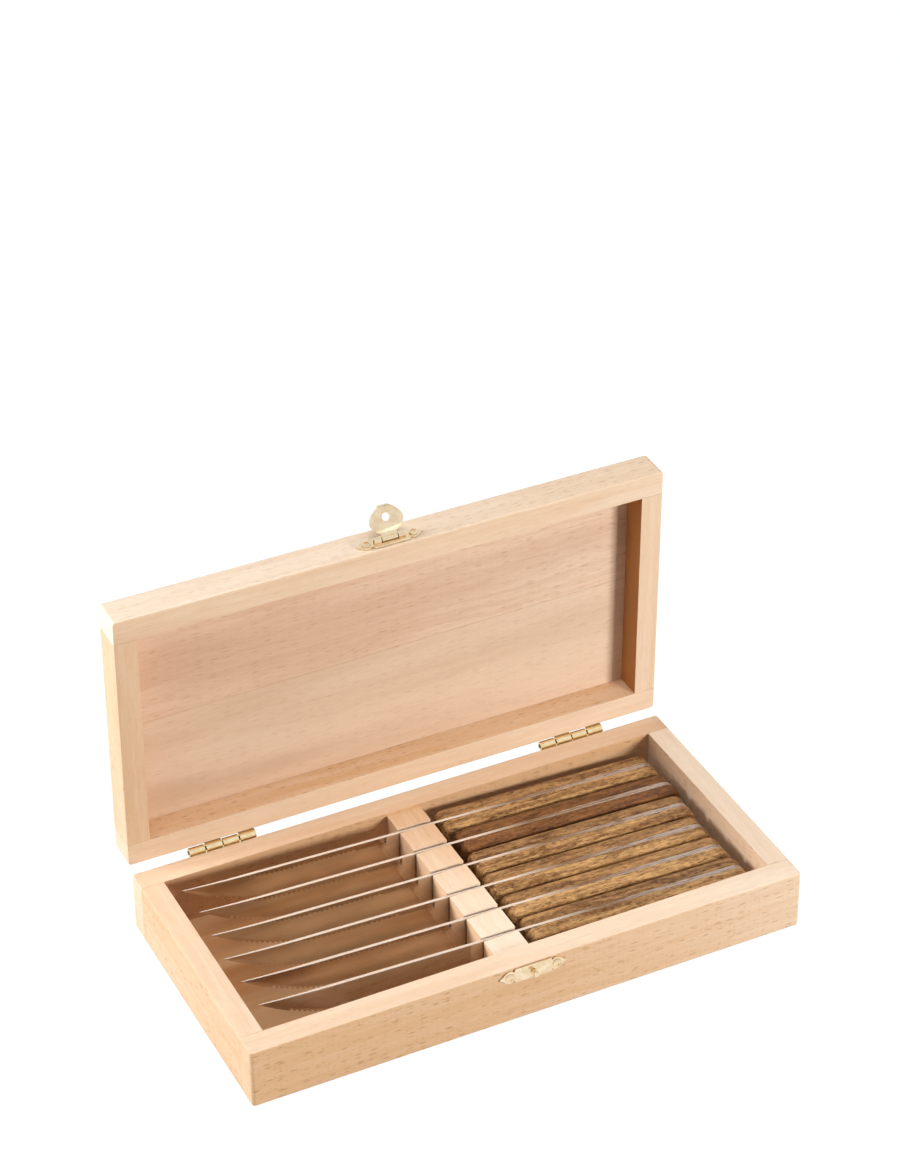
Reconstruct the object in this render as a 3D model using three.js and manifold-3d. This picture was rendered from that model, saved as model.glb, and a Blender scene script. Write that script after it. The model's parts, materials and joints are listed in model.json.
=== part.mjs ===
// Beech case for six steak knives: a tray with a comb rack, a hinged lid, a hasp and its catch.
// Millimetres, +Z up. X runs along the case from the knife points to the handle ends, -Y is the front.
// The origin is the middle of the underside. The lid stands open and the hasp flap leans back, as displayed.

import * as THREE from "three";
import { mergeVertices } from "three/addons/utils/BufferGeometryUtils.js";
import Module from "manifold-3d";

// Fits: hair lines between glued pieces, seats of metal on wood, running fits of pins and studs
const GLUE_LINE = 0.1;
const SEAT = 0.3;
const SHANK_FIT = 0.15;
const PIN_FIT = 0.15;

// How far a cutter runs past what it cuts, and a strap into the leaf that carries it
const OVERRUN = 1;

// Knives
const KNIVES = 6;
const BLADE_LENGTH = 124;
const BLADE_DEPTH = 16.9;
const BLADE_THICKNESS = 1.4;
const POINT_THICKNESS = 0.4;
const POINT_TAPER = 34;
const POINT_BLUNT = 0.5;
const POINT_RISE = 0.9;
const POINT_RISE_LENGTH = 35;
const BELLY_LENGTH = 54;
const BEVEL_HEIGHT = 2.2;
const SHOULDER_THICKNESS = 0.7;
const EDGE_THICKNESS = 0.16;
const FIRST_TOOTH = 14;
const TEETH = 31;
const TOOTH_PITCH = 2.4;
const TOOTH_DEPTH = 0.8;
const TOOTH_LEAN = 0.35;
const TOOTH_TIP = 0.02;
const RICASSO_LENGTH = 24;
const RICASSO_EDGE = 0.9;
const TANG_BUTT_THICKNESS = 2.8;
const HANDLE_LENGTH = 108.5;
const HANDLE_THICKNESS = 15.8;
const HANDLE_ROUNDING = 2.4;
const HANDLE_FRONT_RADIUS = 3.6;
const HANDLE_FRONT_HEIGHT = 18;
const HANDLE_BELLY_HEIGHT = 20;
const HANDLE_BELLY_AT = 38;
const HANDLE_WAIST_HEIGHT = 17.8;
const HANDLE_WAIST_AT = 78;
const BUTT_HEIGHT = 19;
const BUTT_RADIUS = 6.5;
const RIVET_RADIUS = 2;
const RIVET_INSET = 24;
const RIVET_DROP = 9.2;
const RIVET_SINK = 0.1;
// How far each knife has slid along its slot, from the back row to the front row
const KNIFE_SLIP = [0.1, 1.4, 0, -1.2, -0.6, 0.1];

// Room round the knives
const HANDLE_GAP = 0.7;
const SIDE_ROOM = 4.15;
const POINT_ROOM = 3.3;
const BUTT_ROOM = 3.2;

// Comb rack
const RACK_LENGTH = 16.2;
const RACK_HEIGHT = 24.2;
const RACK_TO_HANDLE = 4.4;
const SLOT_PLAY = 0.8;
const SLOT_FLOOR = 5.9;

// Case boards and panels
const LONG_BOARD = 11.2;
const END_BOARD = 10.5;
const TRAY_DEPTH = 25.5;
const TRAY_PANEL = 3.5;
const LID_DEPTH = 13;
const LID_PANEL = 3;
const REBATE = 5;
const EDGE_ROUNDING = 1;
const CORNER_ROUNDING = 1.6;
const LID_CLEARANCE = 0.3;
const LID_OPEN = 89;

// Hinges
const HINGE_INSET = 43.6;
const KNUCKLES = 4;
const KNUCKLE_LENGTH = 8;
const KNUCKLE_GAP = 0.4;
const HINGE_PIN_RADIUS = 0.9;
const BARREL_WALL = 1;
const LEAF_THICKNESS = 0.9;
const LEAF_HEIGHT = 11;
const LEAF_SCREW_INSET = 5.5;
const LEAF_SCREW_HEAD = 1.7;
const LEAF_SCREW_CROWN = 0.65;
const LEAF_SCREW_SHANK = 0.75;
const LEAF_SCREW_TIP = 1.5;
const LEAF_SCREW_LENGTH = 7;

// Hasp and catch
const HASP_X = -1.1;
const HASP_FROM_SEAM = 5.1;
const CATCH_FROM_SEAM = 4.1;
const PLATE_THICKNESS = 0.6;
const PLATE_HEIGHT = 7;
const PLATE_BODY = 17;
const PLATE_WAIST = 4.6;
const PLATE_LOBE = 5.8;
const PLATE_LOBE_FLAT = 2.8;
const PLATE_POINT = 4.5;
const PLATE_POINT_BLUNT = 0.6;
const HASP_KNUCKLE_RADIUS = 1.25;
const HASP_PIN_RADIUS = 0.5;
const FLAP_KNUCKLE = 7.4;
const SIDE_KNUCKLE = 3.4;
const FLAP_THICKNESS = 0.6;
const FLAP_NECK = 2.6;
const FLAP_SHOULDER = 1;
const FLAP_SHOULDER_SHARE = 0.75;
const FLAP_WIDTH = 16;
const FLAP_WIDEST_AT = 7.8;
const FLAP_REACH = 14.4;
const FLAP_LIP_WIDTH = 5;
const FLAP_LIP_CURVE = 1.6;
const FLAP_LIP_LENGTH = 2.4;
const FLAP_LEAN = 115;
const STUD_RADIUS = 1;
const STUD_HEAD_RADIUS = 1.35;
const STUD_HEAD_HEIGHT = 1.7;
const STUD_HEIGHT = 4.3;
const STUD_PLAY = 0.45;
const SCREW_HEAD_RADIUS = 2;
const SCREW_HEAD_HEIGHT = 1.2;
const SCREW_SHANK = 1;
const SCREW_TIP = 2;
const SCREW_LENGTH = 7.5;
const SCREW_CROSS = 0.55;
const SCREW_CROSS_DEPTH = 0.65;
const SCREW_TO_FLAP = 1.2;

// Facets
const CURVE_STEPS = 4;
const BELLY_STEPS = 9;
const HANDLE_STEPS = 3;
const ROUND_STEPS = 2;
const PIN_SIDES = 14;
const SHANK_SIDES = 8;

// Worked out from the sizes above
const PITCH = HANDLE_THICKNESS + HANDLE_GAP;
const KNIFE_LENGTH = BLADE_LENGTH + HANDLE_LENGTH;
const INNER_LENGTH = POINT_ROOM + KNIFE_LENGTH + BUTT_ROOM;
const INNER_WIDTH = KNIVES * PITCH + 2 * SIDE_ROOM;
const LENGTH = INNER_LENGTH + 2 * END_BOARD;
const WIDTH = INNER_WIDTH + 2 * LONG_BOARD;
const TRAY_HEIGHT = TRAY_PANEL + TRAY_DEPTH;
const LID_HEIGHT = LID_PANEL + LID_DEPTH;
const POINT_X = -INNER_LENGTH / 2 + POINT_ROOM;
const RACK_RIGHT = POINT_X + BLADE_LENGTH - RACK_TO_HANDLE;
const RACK_LEFT = RACK_RIGHT - RACK_LENGTH;
const SLOT_WIDTH = BLADE_THICKNESS + 2 * SLOT_PLAY;
const BARREL_RADIUS = HINGE_PIN_RADIUS + PIN_FIT + BARREL_WALL;
const HINGE_Y = WIDTH / 2 + SEAT + BARREL_RADIUS;
const HINGE_Z = TRAY_HEIGHT;
const HINGE_LENGTH = KNUCKLES * KNUCKLE_LENGTH;
const PLATE_SCREW_X = FLAP_WIDTH / 2 + SCREW_TO_FLAP + SCREW_HEAD_RADIUS;
const PLATE_FACE = SEAT + PLATE_THICKNESS;
const HASP_AXIS_OUT = PLATE_FACE + SEAT + FLAP_THICKNESS / 2;
const HASP_Z = TRAY_HEIGHT + HASP_FROM_SEAM;
const CATCH_Z = TRAY_HEIGHT - CATCH_FROM_SEAM;
const FLAP_HOLE_AT = HASP_Z - CATCH_Z;

const wasm = await Module();
wasm.setup();

const AXIS_X = new THREE.Vector3(1, 0, 0);
const AXIS_Y = new THREE.Vector3(0, 1, 0);
const AXIS_Z = new THREE.Vector3(0, 0, 1);

// Merges the points that faces share and leaves out the faces that this closes up.
function toSolid(geometry) {
  const bare = geometry.index ? geometry.toNonIndexed() : geometry.clone();
  bare.deleteAttribute("normal");
  bare.deleteAttribute("uv");
  const merged = mergeVertices(bare, 1e-4);
  const corners = merged.index.array;
  const kept = [];
  for (let i = 0; i < corners.length; i += 3) {
    const [a, b, c] = corners.slice(i, i + 3);
    if (a !== b && b !== c && c !== a) kept.push(a, b, c);
  }
  const mesh = new wasm.Mesh({
    numProp: 3,
    vertProperties: merged.attributes.position.array,
    triVerts: new Uint32Array(kept),
  });
  return new wasm.Manifold(mesh);
}

function toGeometry(solid) {
  const mesh = solid.getMesh();
  const geometry = new THREE.BufferGeometry();
  geometry.setAttribute("position", new THREE.BufferAttribute(mesh.vertProperties, 3));
  geometry.setIndex(new THREE.BufferAttribute(mesh.triVerts, 1));
  geometry.computeVertexNormals();
  return geometry;
}

// A block from its low corner to its high corner.
function block(x0, y0, z0, x1, y1, z1) {
  const geometry = new THREE.BoxGeometry(x1 - x0, y1 - y0, z1 - z0);
  geometry.translate((x0 + x1) / 2, (y0 + y1) / 2, (z0 + z1) / 2);
  return toSolid(geometry);
}

// The shape as straight sides, without the doubled points where its lines meet its arcs.
function faceted(shape, steps) {
  const points = shape.getPoints(steps);
  const apart = (point, i) => point.distanceTo(points[(i + 1) % points.length]) > 1e-4;
  return new THREE.Shape(points.filter(apart));
}

// Extrudes upwards from z = 0. With a rounding, the two flat ends are drawn in by it.
function extruded(shape, depth, steps, rounding = 0) {
  return new THREE.ExtrudeGeometry(faceted(shape, steps), {
    depth: depth - 2 * rounding,
    bevelEnabled: rounding > 0,
    bevelThickness: rounding,
    bevelSize: rounding,
    bevelOffset: -rounding,
    bevelSegments: ROUND_STEPS,
  }).translate(0, 0, rounding);
}

// A shape drawn in X and Z, with thickness from y0 to y1.
function slabXZ(shape, y0, y1, steps = CURVE_STEPS, rounding = 0) {
  const geometry = extruded(shape, y1 - y0, steps, rounding);
  geometry.rotateX(Math.PI / 2).translate(0, y1, 0);
  return toSolid(geometry);
}

// A shape drawn in Y and Z, with length from x0 to x1.
function barYZ(shape, x0, x1) {
  const geometry = extruded(shape, x1 - x0, CURVE_STEPS);
  geometry.applyMatrix4(new THREE.Matrix4().makeBasis(AXIS_Y, AXIS_Z, AXIS_X));
  geometry.translate(x0, 0, 0);
  return toSolid(geometry);
}

// A round bar along X through (y, z), from x0 to x1.
function roundX(radius, x0, x1, y, z, sides = PIN_SIDES) {
  const geometry = new THREE.CylinderGeometry(radius, radius, x1 - x0, sides);
  geometry.rotateZ(Math.PI / 2).translate((x0 + x1) / 2, y, z);
  return toSolid(geometry);
}

// A round bar along Y through (x, z), from y0 to y1.
function roundY(radius, y0, y1, x, z, sides = PIN_SIDES) {
  const geometry = new THREE.CylinderGeometry(radius, radius, y1 - y0, sides);
  geometry.translate(x, (y0 + y1) / 2, z);
  return toSolid(geometry);
}

// A turned piece: profile points are [radius, distance], and distance runs out from the wood.
// outward is -1 on the front and +1 on the back.
function turned(profile, x, y, z, outward, sides = PIN_SIDES) {
  const points = profile.map(([radius, along]) => new THREE.Vector2(radius, along));
  const geometry = new THREE.LatheGeometry(points, sides);
  if (outward < 0) geometry.rotateX(Math.PI);
  geometry.translate(x, y, z);
  return toSolid(geometry);
}

const wood = (color) => new THREE.MeshStandardMaterial({ color, roughness: 0.6, metalness: 0 });
const metal = (color, roughness) => new THREE.MeshStandardMaterial({ color, roughness, metalness: 1 });
const BEECH = wood(0xe2bd93);
const BEECH_PANEL = wood(0xdcb28a);
const HANDLE_WOOD = wood(0xa9834f);
const HANDLE_DARK_WOOD = wood(0x7d5a3a);
const STEEL = metal(0xcfcbc4, 0.12);
const BRASS = metal(0xe0c27a, 0.22);

function piece(name, solid, material) {
  const mesh = new THREE.Mesh(toGeometry(solid), material);
  mesh.name = name;
  return mesh;
}

// Case halves

// The outer form of a tray or lid, with every edge rounded, standing on z = 0.
function roundedBlank(height) {
  const r = CORNER_ROUNDING;
  const x = LENGTH / 2 - r;
  const y = WIDTH / 2 - r;
  const outline = new THREE.Shape();
  outline.absarc(x, -y, r, -Math.PI / 2, 0, false);
  outline.absarc(x, y, r, 0, Math.PI / 2, false);
  outline.absarc(-x, y, r, Math.PI / 2, Math.PI, false);
  outline.absarc(-x, -y, r, Math.PI, 1.5 * Math.PI, false);
  return toSolid(extruded(outline, height, ROUND_STEPS, EDGE_ROUNDING));
}

// Four butt-jointed boards with a panel let into a rebate, at the foot of the tray or the top of the lid.
function caseHalf(prefix, height, panel, panelZ) {
  const blank = roundedBlank(height);
  const x = INNER_LENGTH / 2;
  const y = INNER_WIDTH / 2;
  const g = GLUE_LINE;
  const far = LENGTH;
  const past = height + OVERRUN;
  const rebate = block(-x - REBATE, -y - REBATE, panelZ - g, x + REBATE, y + REBATE, panelZ + panel + g);
  const panelIn = REBATE - g;
  const boards = {
    front: block(-far, -far, -OVERRUN, far, -y, past),
    back: block(-far, y, -OVERRUN, far, far, past),
    left: block(-far, -y + g, -OVERRUN, -x, y - g, past),
    right: block(x, -y + g, -OVERRUN, far, y - g, past),
  };
  const solids = {};
  for (const [side, board] of Object.entries(boards)) {
    solids[`${prefix}_${side}_board`] = board.intersect(blank).subtract(rebate);
  }
  solids[`${prefix}_panel`] = block(
    -x - panelIn, -y - panelIn, panelZ,
    x + panelIn, y + panelIn, panelZ + panel,
  );
  return solids;
}

// Comb rack

const rowY = (row) => ((KNIVES - 1) / 2 - row) * PITCH;

function knifeRack() {
  const half = INNER_WIDTH / 2 - GLUE_LINE;
  const foot = TRAY_PANEL + GLUE_LINE;
  const top = TRAY_PANEL + RACK_HEIGHT;
  const floor = TRAY_PANEL + SLOT_FLOOR;
  const comb = new THREE.Shape();
  comb.moveTo(-half, foot);
  comb.lineTo(half, foot);
  comb.lineTo(half, top);
  for (let row = 0; row < KNIVES; row += 1) {
    const y = rowY(row);
    comb.lineTo(y + SLOT_WIDTH / 2, top);
    comb.lineTo(y + SLOT_WIDTH / 2, floor);
    comb.lineTo(y - SLOT_WIDTH / 2, floor);
    comb.lineTo(y - SLOT_WIDTH / 2, top);
  }
  comb.lineTo(-half, top);
  return barYZ(comb, RACK_LEFT, RACK_RIGHT);
}

// Knives, each drawn with its point at the origin, its spine along +X and its edge down

const spineHeight = (u) => POINT_RISE * Math.max(0, 1 - u / POINT_RISE_LENGTH) ** 2;

function edgeHeight(u) {
  const run = Math.min(1, u / BELLY_LENGTH);
  return POINT_RISE - (POINT_RISE + BLADE_DEPTH) * (1 - (1 - run) ** 2);
}

// Distances from the point at which the blade's section is drawn.
function bladeStations() {
  const stations = [POINT_BLUNT];
  for (let step = 1; step <= BELLY_STEPS; step += 1) {
    stations.push(BELLY_LENGTH * (step / BELLY_STEPS) ** 1.5);
  }
  stations.push(BLADE_LENGTH - RICASSO_LENGTH);
  stations.push(BLADE_LENGTH - RICASSO_LENGTH + BEVEL_HEIGHT);
  stations.push(BLADE_LENGTH + 2 * HANDLE_FRONT_RADIUS);
  return stations;
}

// The section at one station: flat sides from the spine to the shoulder, then the bevel down to the edge.
function bladeSection(u) {
  const top = spineHeight(u);
  const low = edgeHeight(u);
  const bevel = Math.min(BEVEL_HEIGHT, (top - low) / 2);
  const taper = Math.min(1, u / POINT_TAPER);
  const full = POINT_THICKNESS + (BLADE_THICKNESS - POINT_THICKNESS) * taper;
  const ricasso = u > BLADE_LENGTH - RICASSO_LENGTH;
  const shoulder = ricasso ? RICASSO_EDGE : Math.min(full, SHOULDER_THICKNESS);
  const edge = ricasso ? RICASSO_EDGE : EDGE_THICKNESS;
  return [
    [u, -full / 2, top],
    [u, -shoulder / 2, low + bevel],
    [u, -edge / 2, low],
    [u, edge / 2, low],
    [u, shoulder / 2, low + bevel],
    [u, full / 2, top],
  ];
}

function groundBlade() {
  const rings = bladeStations().map(bladeSection);
  const corners = [];
  const face = (a, b, c) => corners.push(...a, ...b, ...c);
  for (let i = 1; i < rings.length; i += 1) {
    const [near, next] = [rings[i - 1], rings[i]];
    near.forEach((corner, k) => {
      const m = (k + 1) % near.length;
      face(corner, near[m], next[m]);
      face(corner, next[m], next[k]);
    });
  }
  const [first, last] = [rings[0], rings[rings.length - 1]];
  for (const [a, b, c] of [[0, 4, 5], [0, 1, 4], [1, 3, 4], [1, 2, 3]]) {
    face(first[a], first[c], first[b]);
    face(last[a], last[b], last[c]);
  }
  const geometry = new THREE.BufferGeometry();
  geometry.setAttribute("position", new THREE.Float32BufferAttribute(corners, 3));
  return toSolid(geometry);
}

// The teeth are notches across the bevel, each with its steep side towards the point.
function toothNotches() {
  const below = -2 * BLADE_DEPTH;
  const end = FIRST_TOOTH + TEETH * TOOTH_PITCH;
  const notches = new THREE.Shape();
  notches.moveTo(FIRST_TOOTH, below);
  for (let u = FIRST_TOOTH; u < end - TOOTH_PITCH / 2; u += TOOTH_PITCH) {
    const root = u + TOOTH_LEAN * TOOTH_PITCH;
    notches.lineTo(u, edgeHeight(u) - TOOTH_TIP);
    notches.lineTo(root, edgeHeight(root) + TOOTH_DEPTH);
  }
  notches.lineTo(end, edgeHeight(end) - TOOTH_TIP);
  notches.lineTo(end, below);
  return slabXZ(notches, -BLADE_THICKNESS, BLADE_THICKNESS);
}

// Side view of the handle: flat back, round butt, a waist and a belly under the fingers.
function handleOutline() {
  const front = BLADE_LENGTH;
  const butt = KNIFE_LENGTH;
  const r = HANDLE_FRONT_RADIUS;
  const b = BUTT_RADIUS;
  const belly = front + HANDLE_BELLY_AT;
  const waist = front + HANDLE_WAIST_AT;
  const outline = new THREE.Shape();
  outline.absarc(front + r, -r, r, Math.PI, Math.PI / 2, true);
  outline.absarc(butt - b, -b, b, Math.PI / 2, 0, true);
  outline.absarc(butt - b, b - BUTT_HEIGHT, b, 0, -Math.PI / 2, true);
  // An S between two levels, flat at both ends.
  const ease = (x0, depth0, x1, depth1) => {
    const middle = (x0 + x1) / 2;
    outline.bezierCurveTo(middle, -depth0, middle, -depth1, x1, -depth1);
  };
  ease(butt - b, BUTT_HEIGHT, waist, HANDLE_WAIST_HEIGHT);
  ease(waist, HANDLE_WAIST_HEIGHT, belly, HANDLE_BELLY_HEIGHT);
  ease(belly, HANDLE_BELLY_HEIGHT, front + r, HANDLE_FRONT_HEIGHT);
  outline.absarc(front + r, r - HANDLE_FRONT_HEIGHT, r, -Math.PI / 2, -Math.PI, true);
  return outline;
}

// The tang's plan, wider towards the butt. grow widens it on both sides.
function tangWedge(grow) {
  const front = BLADE_THICKNESS / 2 + grow;
  const butt = TANG_BUTT_THICKNESS / 2 + grow;
  const before = BLADE_LENGTH - OVERRUN;
  const past = KNIFE_LENGTH + OVERRUN;
  const plan = new THREE.Shape();
  plan.moveTo(before, -front);
  plan.lineTo(past, -butt);
  plan.lineTo(past, butt);
  plan.lineTo(before, front);
  const geometry = extruded(plan, 3 * BLADE_DEPTH, 1);
  geometry.translate(0, 0, -2 * BLADE_DEPTH);
  return toSolid(geometry);
}

function roundedHandle() {
  const half = HANDLE_THICKNESS / 2;
  return slabXZ(handleOutline(), -half, half, HANDLE_STEPS, HANDLE_ROUNDING);
}

const rivetAts = [BLADE_LENGTH + RIVET_INSET, KNIFE_LENGTH - RIVET_INSET];

// Both rivets of a handle, as bars or as the holes for them.
function rivetBars(radius, reach) {
  const [front, rear] = rivetAts.map((u) => roundY(radius, -reach, reach, u, -RIVET_DROP, SHANK_SIDES));
  return front.add(rear);
}

// Blade and full tang in one, with the two rivets that are peened through it.
function knifeSteel() {
  const t = TANG_BUTT_THICKNESS;
  const tang = slabXZ(handleOutline(), -t, t, HANDLE_STEPS).intersect(tangWedge(0));
  const rivets = rivetBars(RIVET_RADIUS, HANDLE_THICKNESS / 2 - RIVET_SINK);
  return tang.add(groundBlade().subtract(toothNotches())).add(rivets);
}

// One scale of each handle. side is +1 at the back and -1 at the front.
function handleScale(side) {
  const far = 2 * KNIFE_LENGTH;
  const half = side > 0 ? block(-far, 0, -far, far, far, far) : block(-far, -far, -far, far, 0, far);
  const holes = rivetBars(RIVET_RADIUS + GLUE_LINE, HANDLE_THICKNESS);
  return roundedHandle().subtract(tangWedge(GLUE_LINE)).intersect(half).subtract(holes);
}

// A knife lies with its ricasso on the slot floor and the low side of its butt on the panel.
function knifeSeat() {
  const run = KNIFE_LENGTH - BUTT_RADIUS - (RACK_RIGHT - POINT_X);
  const drop = BUTT_HEIGHT - BLADE_DEPTH;
  const tilt = Math.asin(SLOT_FLOOR / Math.hypot(run, drop)) - Math.atan2(drop, run);
  const slotFloor = TRAY_PANEL + SLOT_FLOOR + SEAT;
  const z = slotFloor + (RACK_RIGHT - POINT_X) * Math.tan(tilt) + BLADE_DEPTH / Math.cos(tilt);
  return { tilt, z };
}

function knives() {
  const group = new THREE.Group();
  const { tilt, z } = knifeSeat();
  const steel = knifeSteel();
  const scales = { back: handleScale(1), front: handleScale(-1) };
  for (let row = 0; row < KNIVES; row += 1) {
    const knife = new THREE.Group();
    const name = `knife_${row + 1}`;
    const scaleWood = row === 1 ? HANDLE_DARK_WOOD : HANDLE_WOOD;
    knife.add(piece(`${name}_blade`, steel, STEEL));
    for (const [side, scale] of Object.entries(scales)) {
      knife.add(piece(`${name}_${side}_scale`, scale, scaleWood));
    }
    knife.position.set(POINT_X + KNIFE_SLIP[row % KNIFE_SLIP.length], rowY(row), z);
    knife.rotation.y = tilt;
    group.add(knife);
  }
  return group;
}

// Hinges, drawn closed: both leaves lie on the back faces, and the barrel runs along the seam

// A leaf on one half. up is +1 for the lid and -1 for the tray; first is its first knuckle.
function hingeLeaf(x0, up, first) {
  const inner = HINGE_Y - BARREL_RADIUS;
  const outer = inner + LEAF_THICKNESS;
  const nearZ = HINGE_Z + up * (BARREL_RADIUS + KNUCKLE_GAP);
  const farZ = nearZ + up * LEAF_HEIGHT;
  const zs = (a, b) => [Math.min(a, b), Math.max(a, b)];
  const [low, high] = zs(nearZ, farZ);
  let leaf = block(x0, inner, low, x0 + HINGE_LENGTH, outer, high);
  for (let k = first; k < KNUCKLES; k += 2) {
    const from = x0 + k * KNUCKLE_LENGTH + KNUCKLE_GAP / 2;
    const to = from + KNUCKLE_LENGTH - KNUCKLE_GAP;
    const [strapLow, strapHigh] = zs(HINGE_Z, nearZ + up * OVERRUN);
    leaf = leaf.add(roundX(BARREL_RADIUS, from, to, HINGE_Y, HINGE_Z));
    leaf = leaf.add(block(from, inner, strapLow, to, outer, strapHigh));
  }
  leaf = leaf.subtract(
    roundX(HINGE_PIN_RADIUS + PIN_FIT, x0 - OVERRUN, x0 + HINGE_LENGTH + OVERRUN, HINGE_Y, HINGE_Z),
  );
  const bore = LEAF_SCREW_SHANK + SHANK_FIT;
  for (const x of leafScrewXs(x0)) {
    leaf = leaf.subtract(
      roundY(bore, inner - OVERRUN, outer + OVERRUN, x, leafScrewZ(up), SHANK_SIDES),
    );
  }
  return leaf;
}

const leafScrewXs = (x0) => [x0 + LEAF_SCREW_INSET, x0 + HINGE_LENGTH - LEAF_SCREW_INSET];
const leafScrewZ = (up) => HINGE_Z + up * (BARREL_RADIUS + KNUCKLE_GAP + LEAF_HEIGHT / 2);

function leafScrew(x, up) {
  const seat = SEAT + LEAF_THICKNESS + GLUE_LINE;
  const profile = [
    [0, seat - LEAF_SCREW_LENGTH],
    [LEAF_SCREW_SHANK, seat - LEAF_SCREW_LENGTH + LEAF_SCREW_TIP],
    [LEAF_SCREW_SHANK, seat],
    [LEAF_SCREW_HEAD, seat],
    [LEAF_SCREW_HEAD * 0.8, seat + LEAF_SCREW_CROWN * 0.7],
    [0, seat + LEAF_SCREW_CROWN],
  ];
  return turned(profile, x, WIDTH / 2, leafScrewZ(up), 1, SHANK_SIDES);
}

const hingeStarts = {
  left: -LENGTH / 2 + HINGE_INSET - HINGE_LENGTH / 2,
  right: LENGTH / 2 - HINGE_INSET - HINGE_LENGTH / 2,
};

// Hasp and catch, drawn closed and latched. The wood of the front face is at y = -WIDTH / 2

const FRONT_Y = -WIDTH / 2;
const HASP_AXIS_Y = FRONT_Y - HASP_AXIS_OUT;

// The outline that both plates share: a plain middle, a waist, and a pointed lobe round each screw.
function plateOutline(x, z) {
  const body = PLATE_BODY / 2;
  const waist = body + (PLATE_LOBE - PLATE_WAIST) / 4;
  const corner = [
    [body, PLATE_HEIGHT / 2],
    [waist, PLATE_WAIST / 2],
    [PLATE_SCREW_X - PLATE_LOBE_FLAT / 2, PLATE_LOBE / 2],
    [PLATE_SCREW_X + PLATE_LOBE_FLAT / 2, PLATE_LOBE / 2],
    [PLATE_SCREW_X + PLATE_POINT, PLATE_POINT_BLUNT / 2],
  ];
  const right = [...corner, ...corner.map(([u, v]) => [u, -v]).reverse()];
  const left = right.map(([u, v]) => [-u, -v]);
  const outline = [...right, ...left].map(([u, v]) => new THREE.Vector2(x + u, z + v));
  return new THREE.Shape(outline);
}

const plateScrews = [HASP_X - PLATE_SCREW_X, HASP_X + PLATE_SCREW_X];

function screwedPlate(z) {
  let plate = slabXZ(plateOutline(HASP_X, z), FRONT_Y - PLATE_FACE, FRONT_Y - SEAT);
  const bore = SCREW_SHANK + SHANK_FIT;
  for (const x of plateScrews) {
    plate = plate.subtract(roundY(bore, FRONT_Y - 2 * PLATE_FACE, FRONT_Y, x, z, SHANK_SIDES));
  }
  return plate;
}

// A dome-headed screw with a cross recess, its head on the plate.
function plateScrew(x, z) {
  const seat = PLATE_FACE + GLUE_LINE;
  const r = SCREW_HEAD_RADIUS;
  const top = seat + SCREW_HEAD_HEIGHT;
  const profile = [
    [0, seat - SCREW_LENGTH],
    [SCREW_SHANK, seat - SCREW_LENGTH + SCREW_TIP],
    [SCREW_SHANK, seat],
    [r, seat],
    [r * 0.9, seat + SCREW_HEAD_HEIGHT * 0.5],
    [r * 0.55, seat + SCREW_HEAD_HEIGHT * 0.9],
    [0, top],
  ];
  const arm = r * 0.6;
  const c = SCREW_CROSS / 2;
  const deep = FRONT_Y - top + SCREW_CROSS_DEPTH;
  const out = FRONT_Y - 2 * top;
  const across = block(x - arm, out, z - c, x + arm, deep, z + c);
  const upright = block(x - c, out, z - arm, x + c, deep, z + arm);
  return turned(profile, x, FRONT_Y, z, -1).subtract(across.add(upright));
}

const sideKnuckleStarts = [
  HASP_X - FLAP_KNUCKLE / 2 - SEAT - SIDE_KNUCKLE,
  HASP_X + FLAP_KNUCKLE / 2 + SEAT,
];

// The lid's plate: a window for the flap's knuckle, between two rolled knuckles of its own.
function haspPlate() {
  const r = HASP_KNUCKLE_RADIUS;
  const wide = FLAP_KNUCKLE / 2 + SEAT;
  const high = r + SEAT;
  const window = block(
    HASP_X - wide, FRONT_Y - 2 * PLATE_FACE, HASP_Z - high,
    HASP_X + wide, FRONT_Y, HASP_Z + high,
  );
  let plate = screwedPlate(HASP_Z).subtract(window);
  for (const x of sideKnuckleStarts) {
    const end = x + SIDE_KNUCKLE;
    plate = plate.add(roundX(r, x, end, HASP_AXIS_Y, HASP_Z));
    plate = plate.add(block(x, HASP_AXIS_Y, HASP_Z - r, end, FRONT_Y - SEAT, HASP_Z + r));
  }
  return plate.subtract(haspBore());
}

function haspBore() {
  const reach = LENGTH / 2;
  return roundX(HASP_PIN_RADIUS + PIN_FIT, HASP_X - reach, HASP_X + reach, HASP_AXIS_Y, HASP_Z);
}

function haspPin() {
  const reach = FLAP_KNUCKLE / 2 + SEAT + SIDE_KNUCKLE;
  return roundX(HASP_PIN_RADIUS, HASP_X - reach, HASP_X + reach, HASP_AXIS_Y, HASP_Z);
}

// The flap's plan, hanging from its knuckle at the origin: out to its widest, then in to the lip.
function flapOutline() {
  const k = FLAP_KNUCKLE / 2;
  const wide = FLAP_WIDTH / 2;
  const lip = FLAP_LIP_WIDTH / 2;
  const belly = (FLAP_REACH - FLAP_WIDEST_AT) / 3;
  const side = new THREE.Path();
  side.moveTo(k, 0);
  side.lineTo(k, -FLAP_NECK);
  const shoulder = wide * FLAP_SHOULDER_SHARE;
  side.bezierCurveTo(
    shoulder, -FLAP_NECK - FLAP_SHOULDER,
    wide, belly - FLAP_WIDEST_AT,
    wide, -FLAP_WIDEST_AT,
  );
  side.bezierCurveTo(
    wide, -FLAP_WIDEST_AT - belly,
    FLAP_LIP_WIDTH, FLAP_LIP_CURVE - FLAP_REACH,
    lip, -FLAP_REACH,
  );
  const right = side.getPoints(CURVE_STEPS);
  const left = right.map((point) => new THREE.Vector2(-point.x, point.y)).reverse();
  return new THREE.Shape([...right, ...left]);
}

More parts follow.
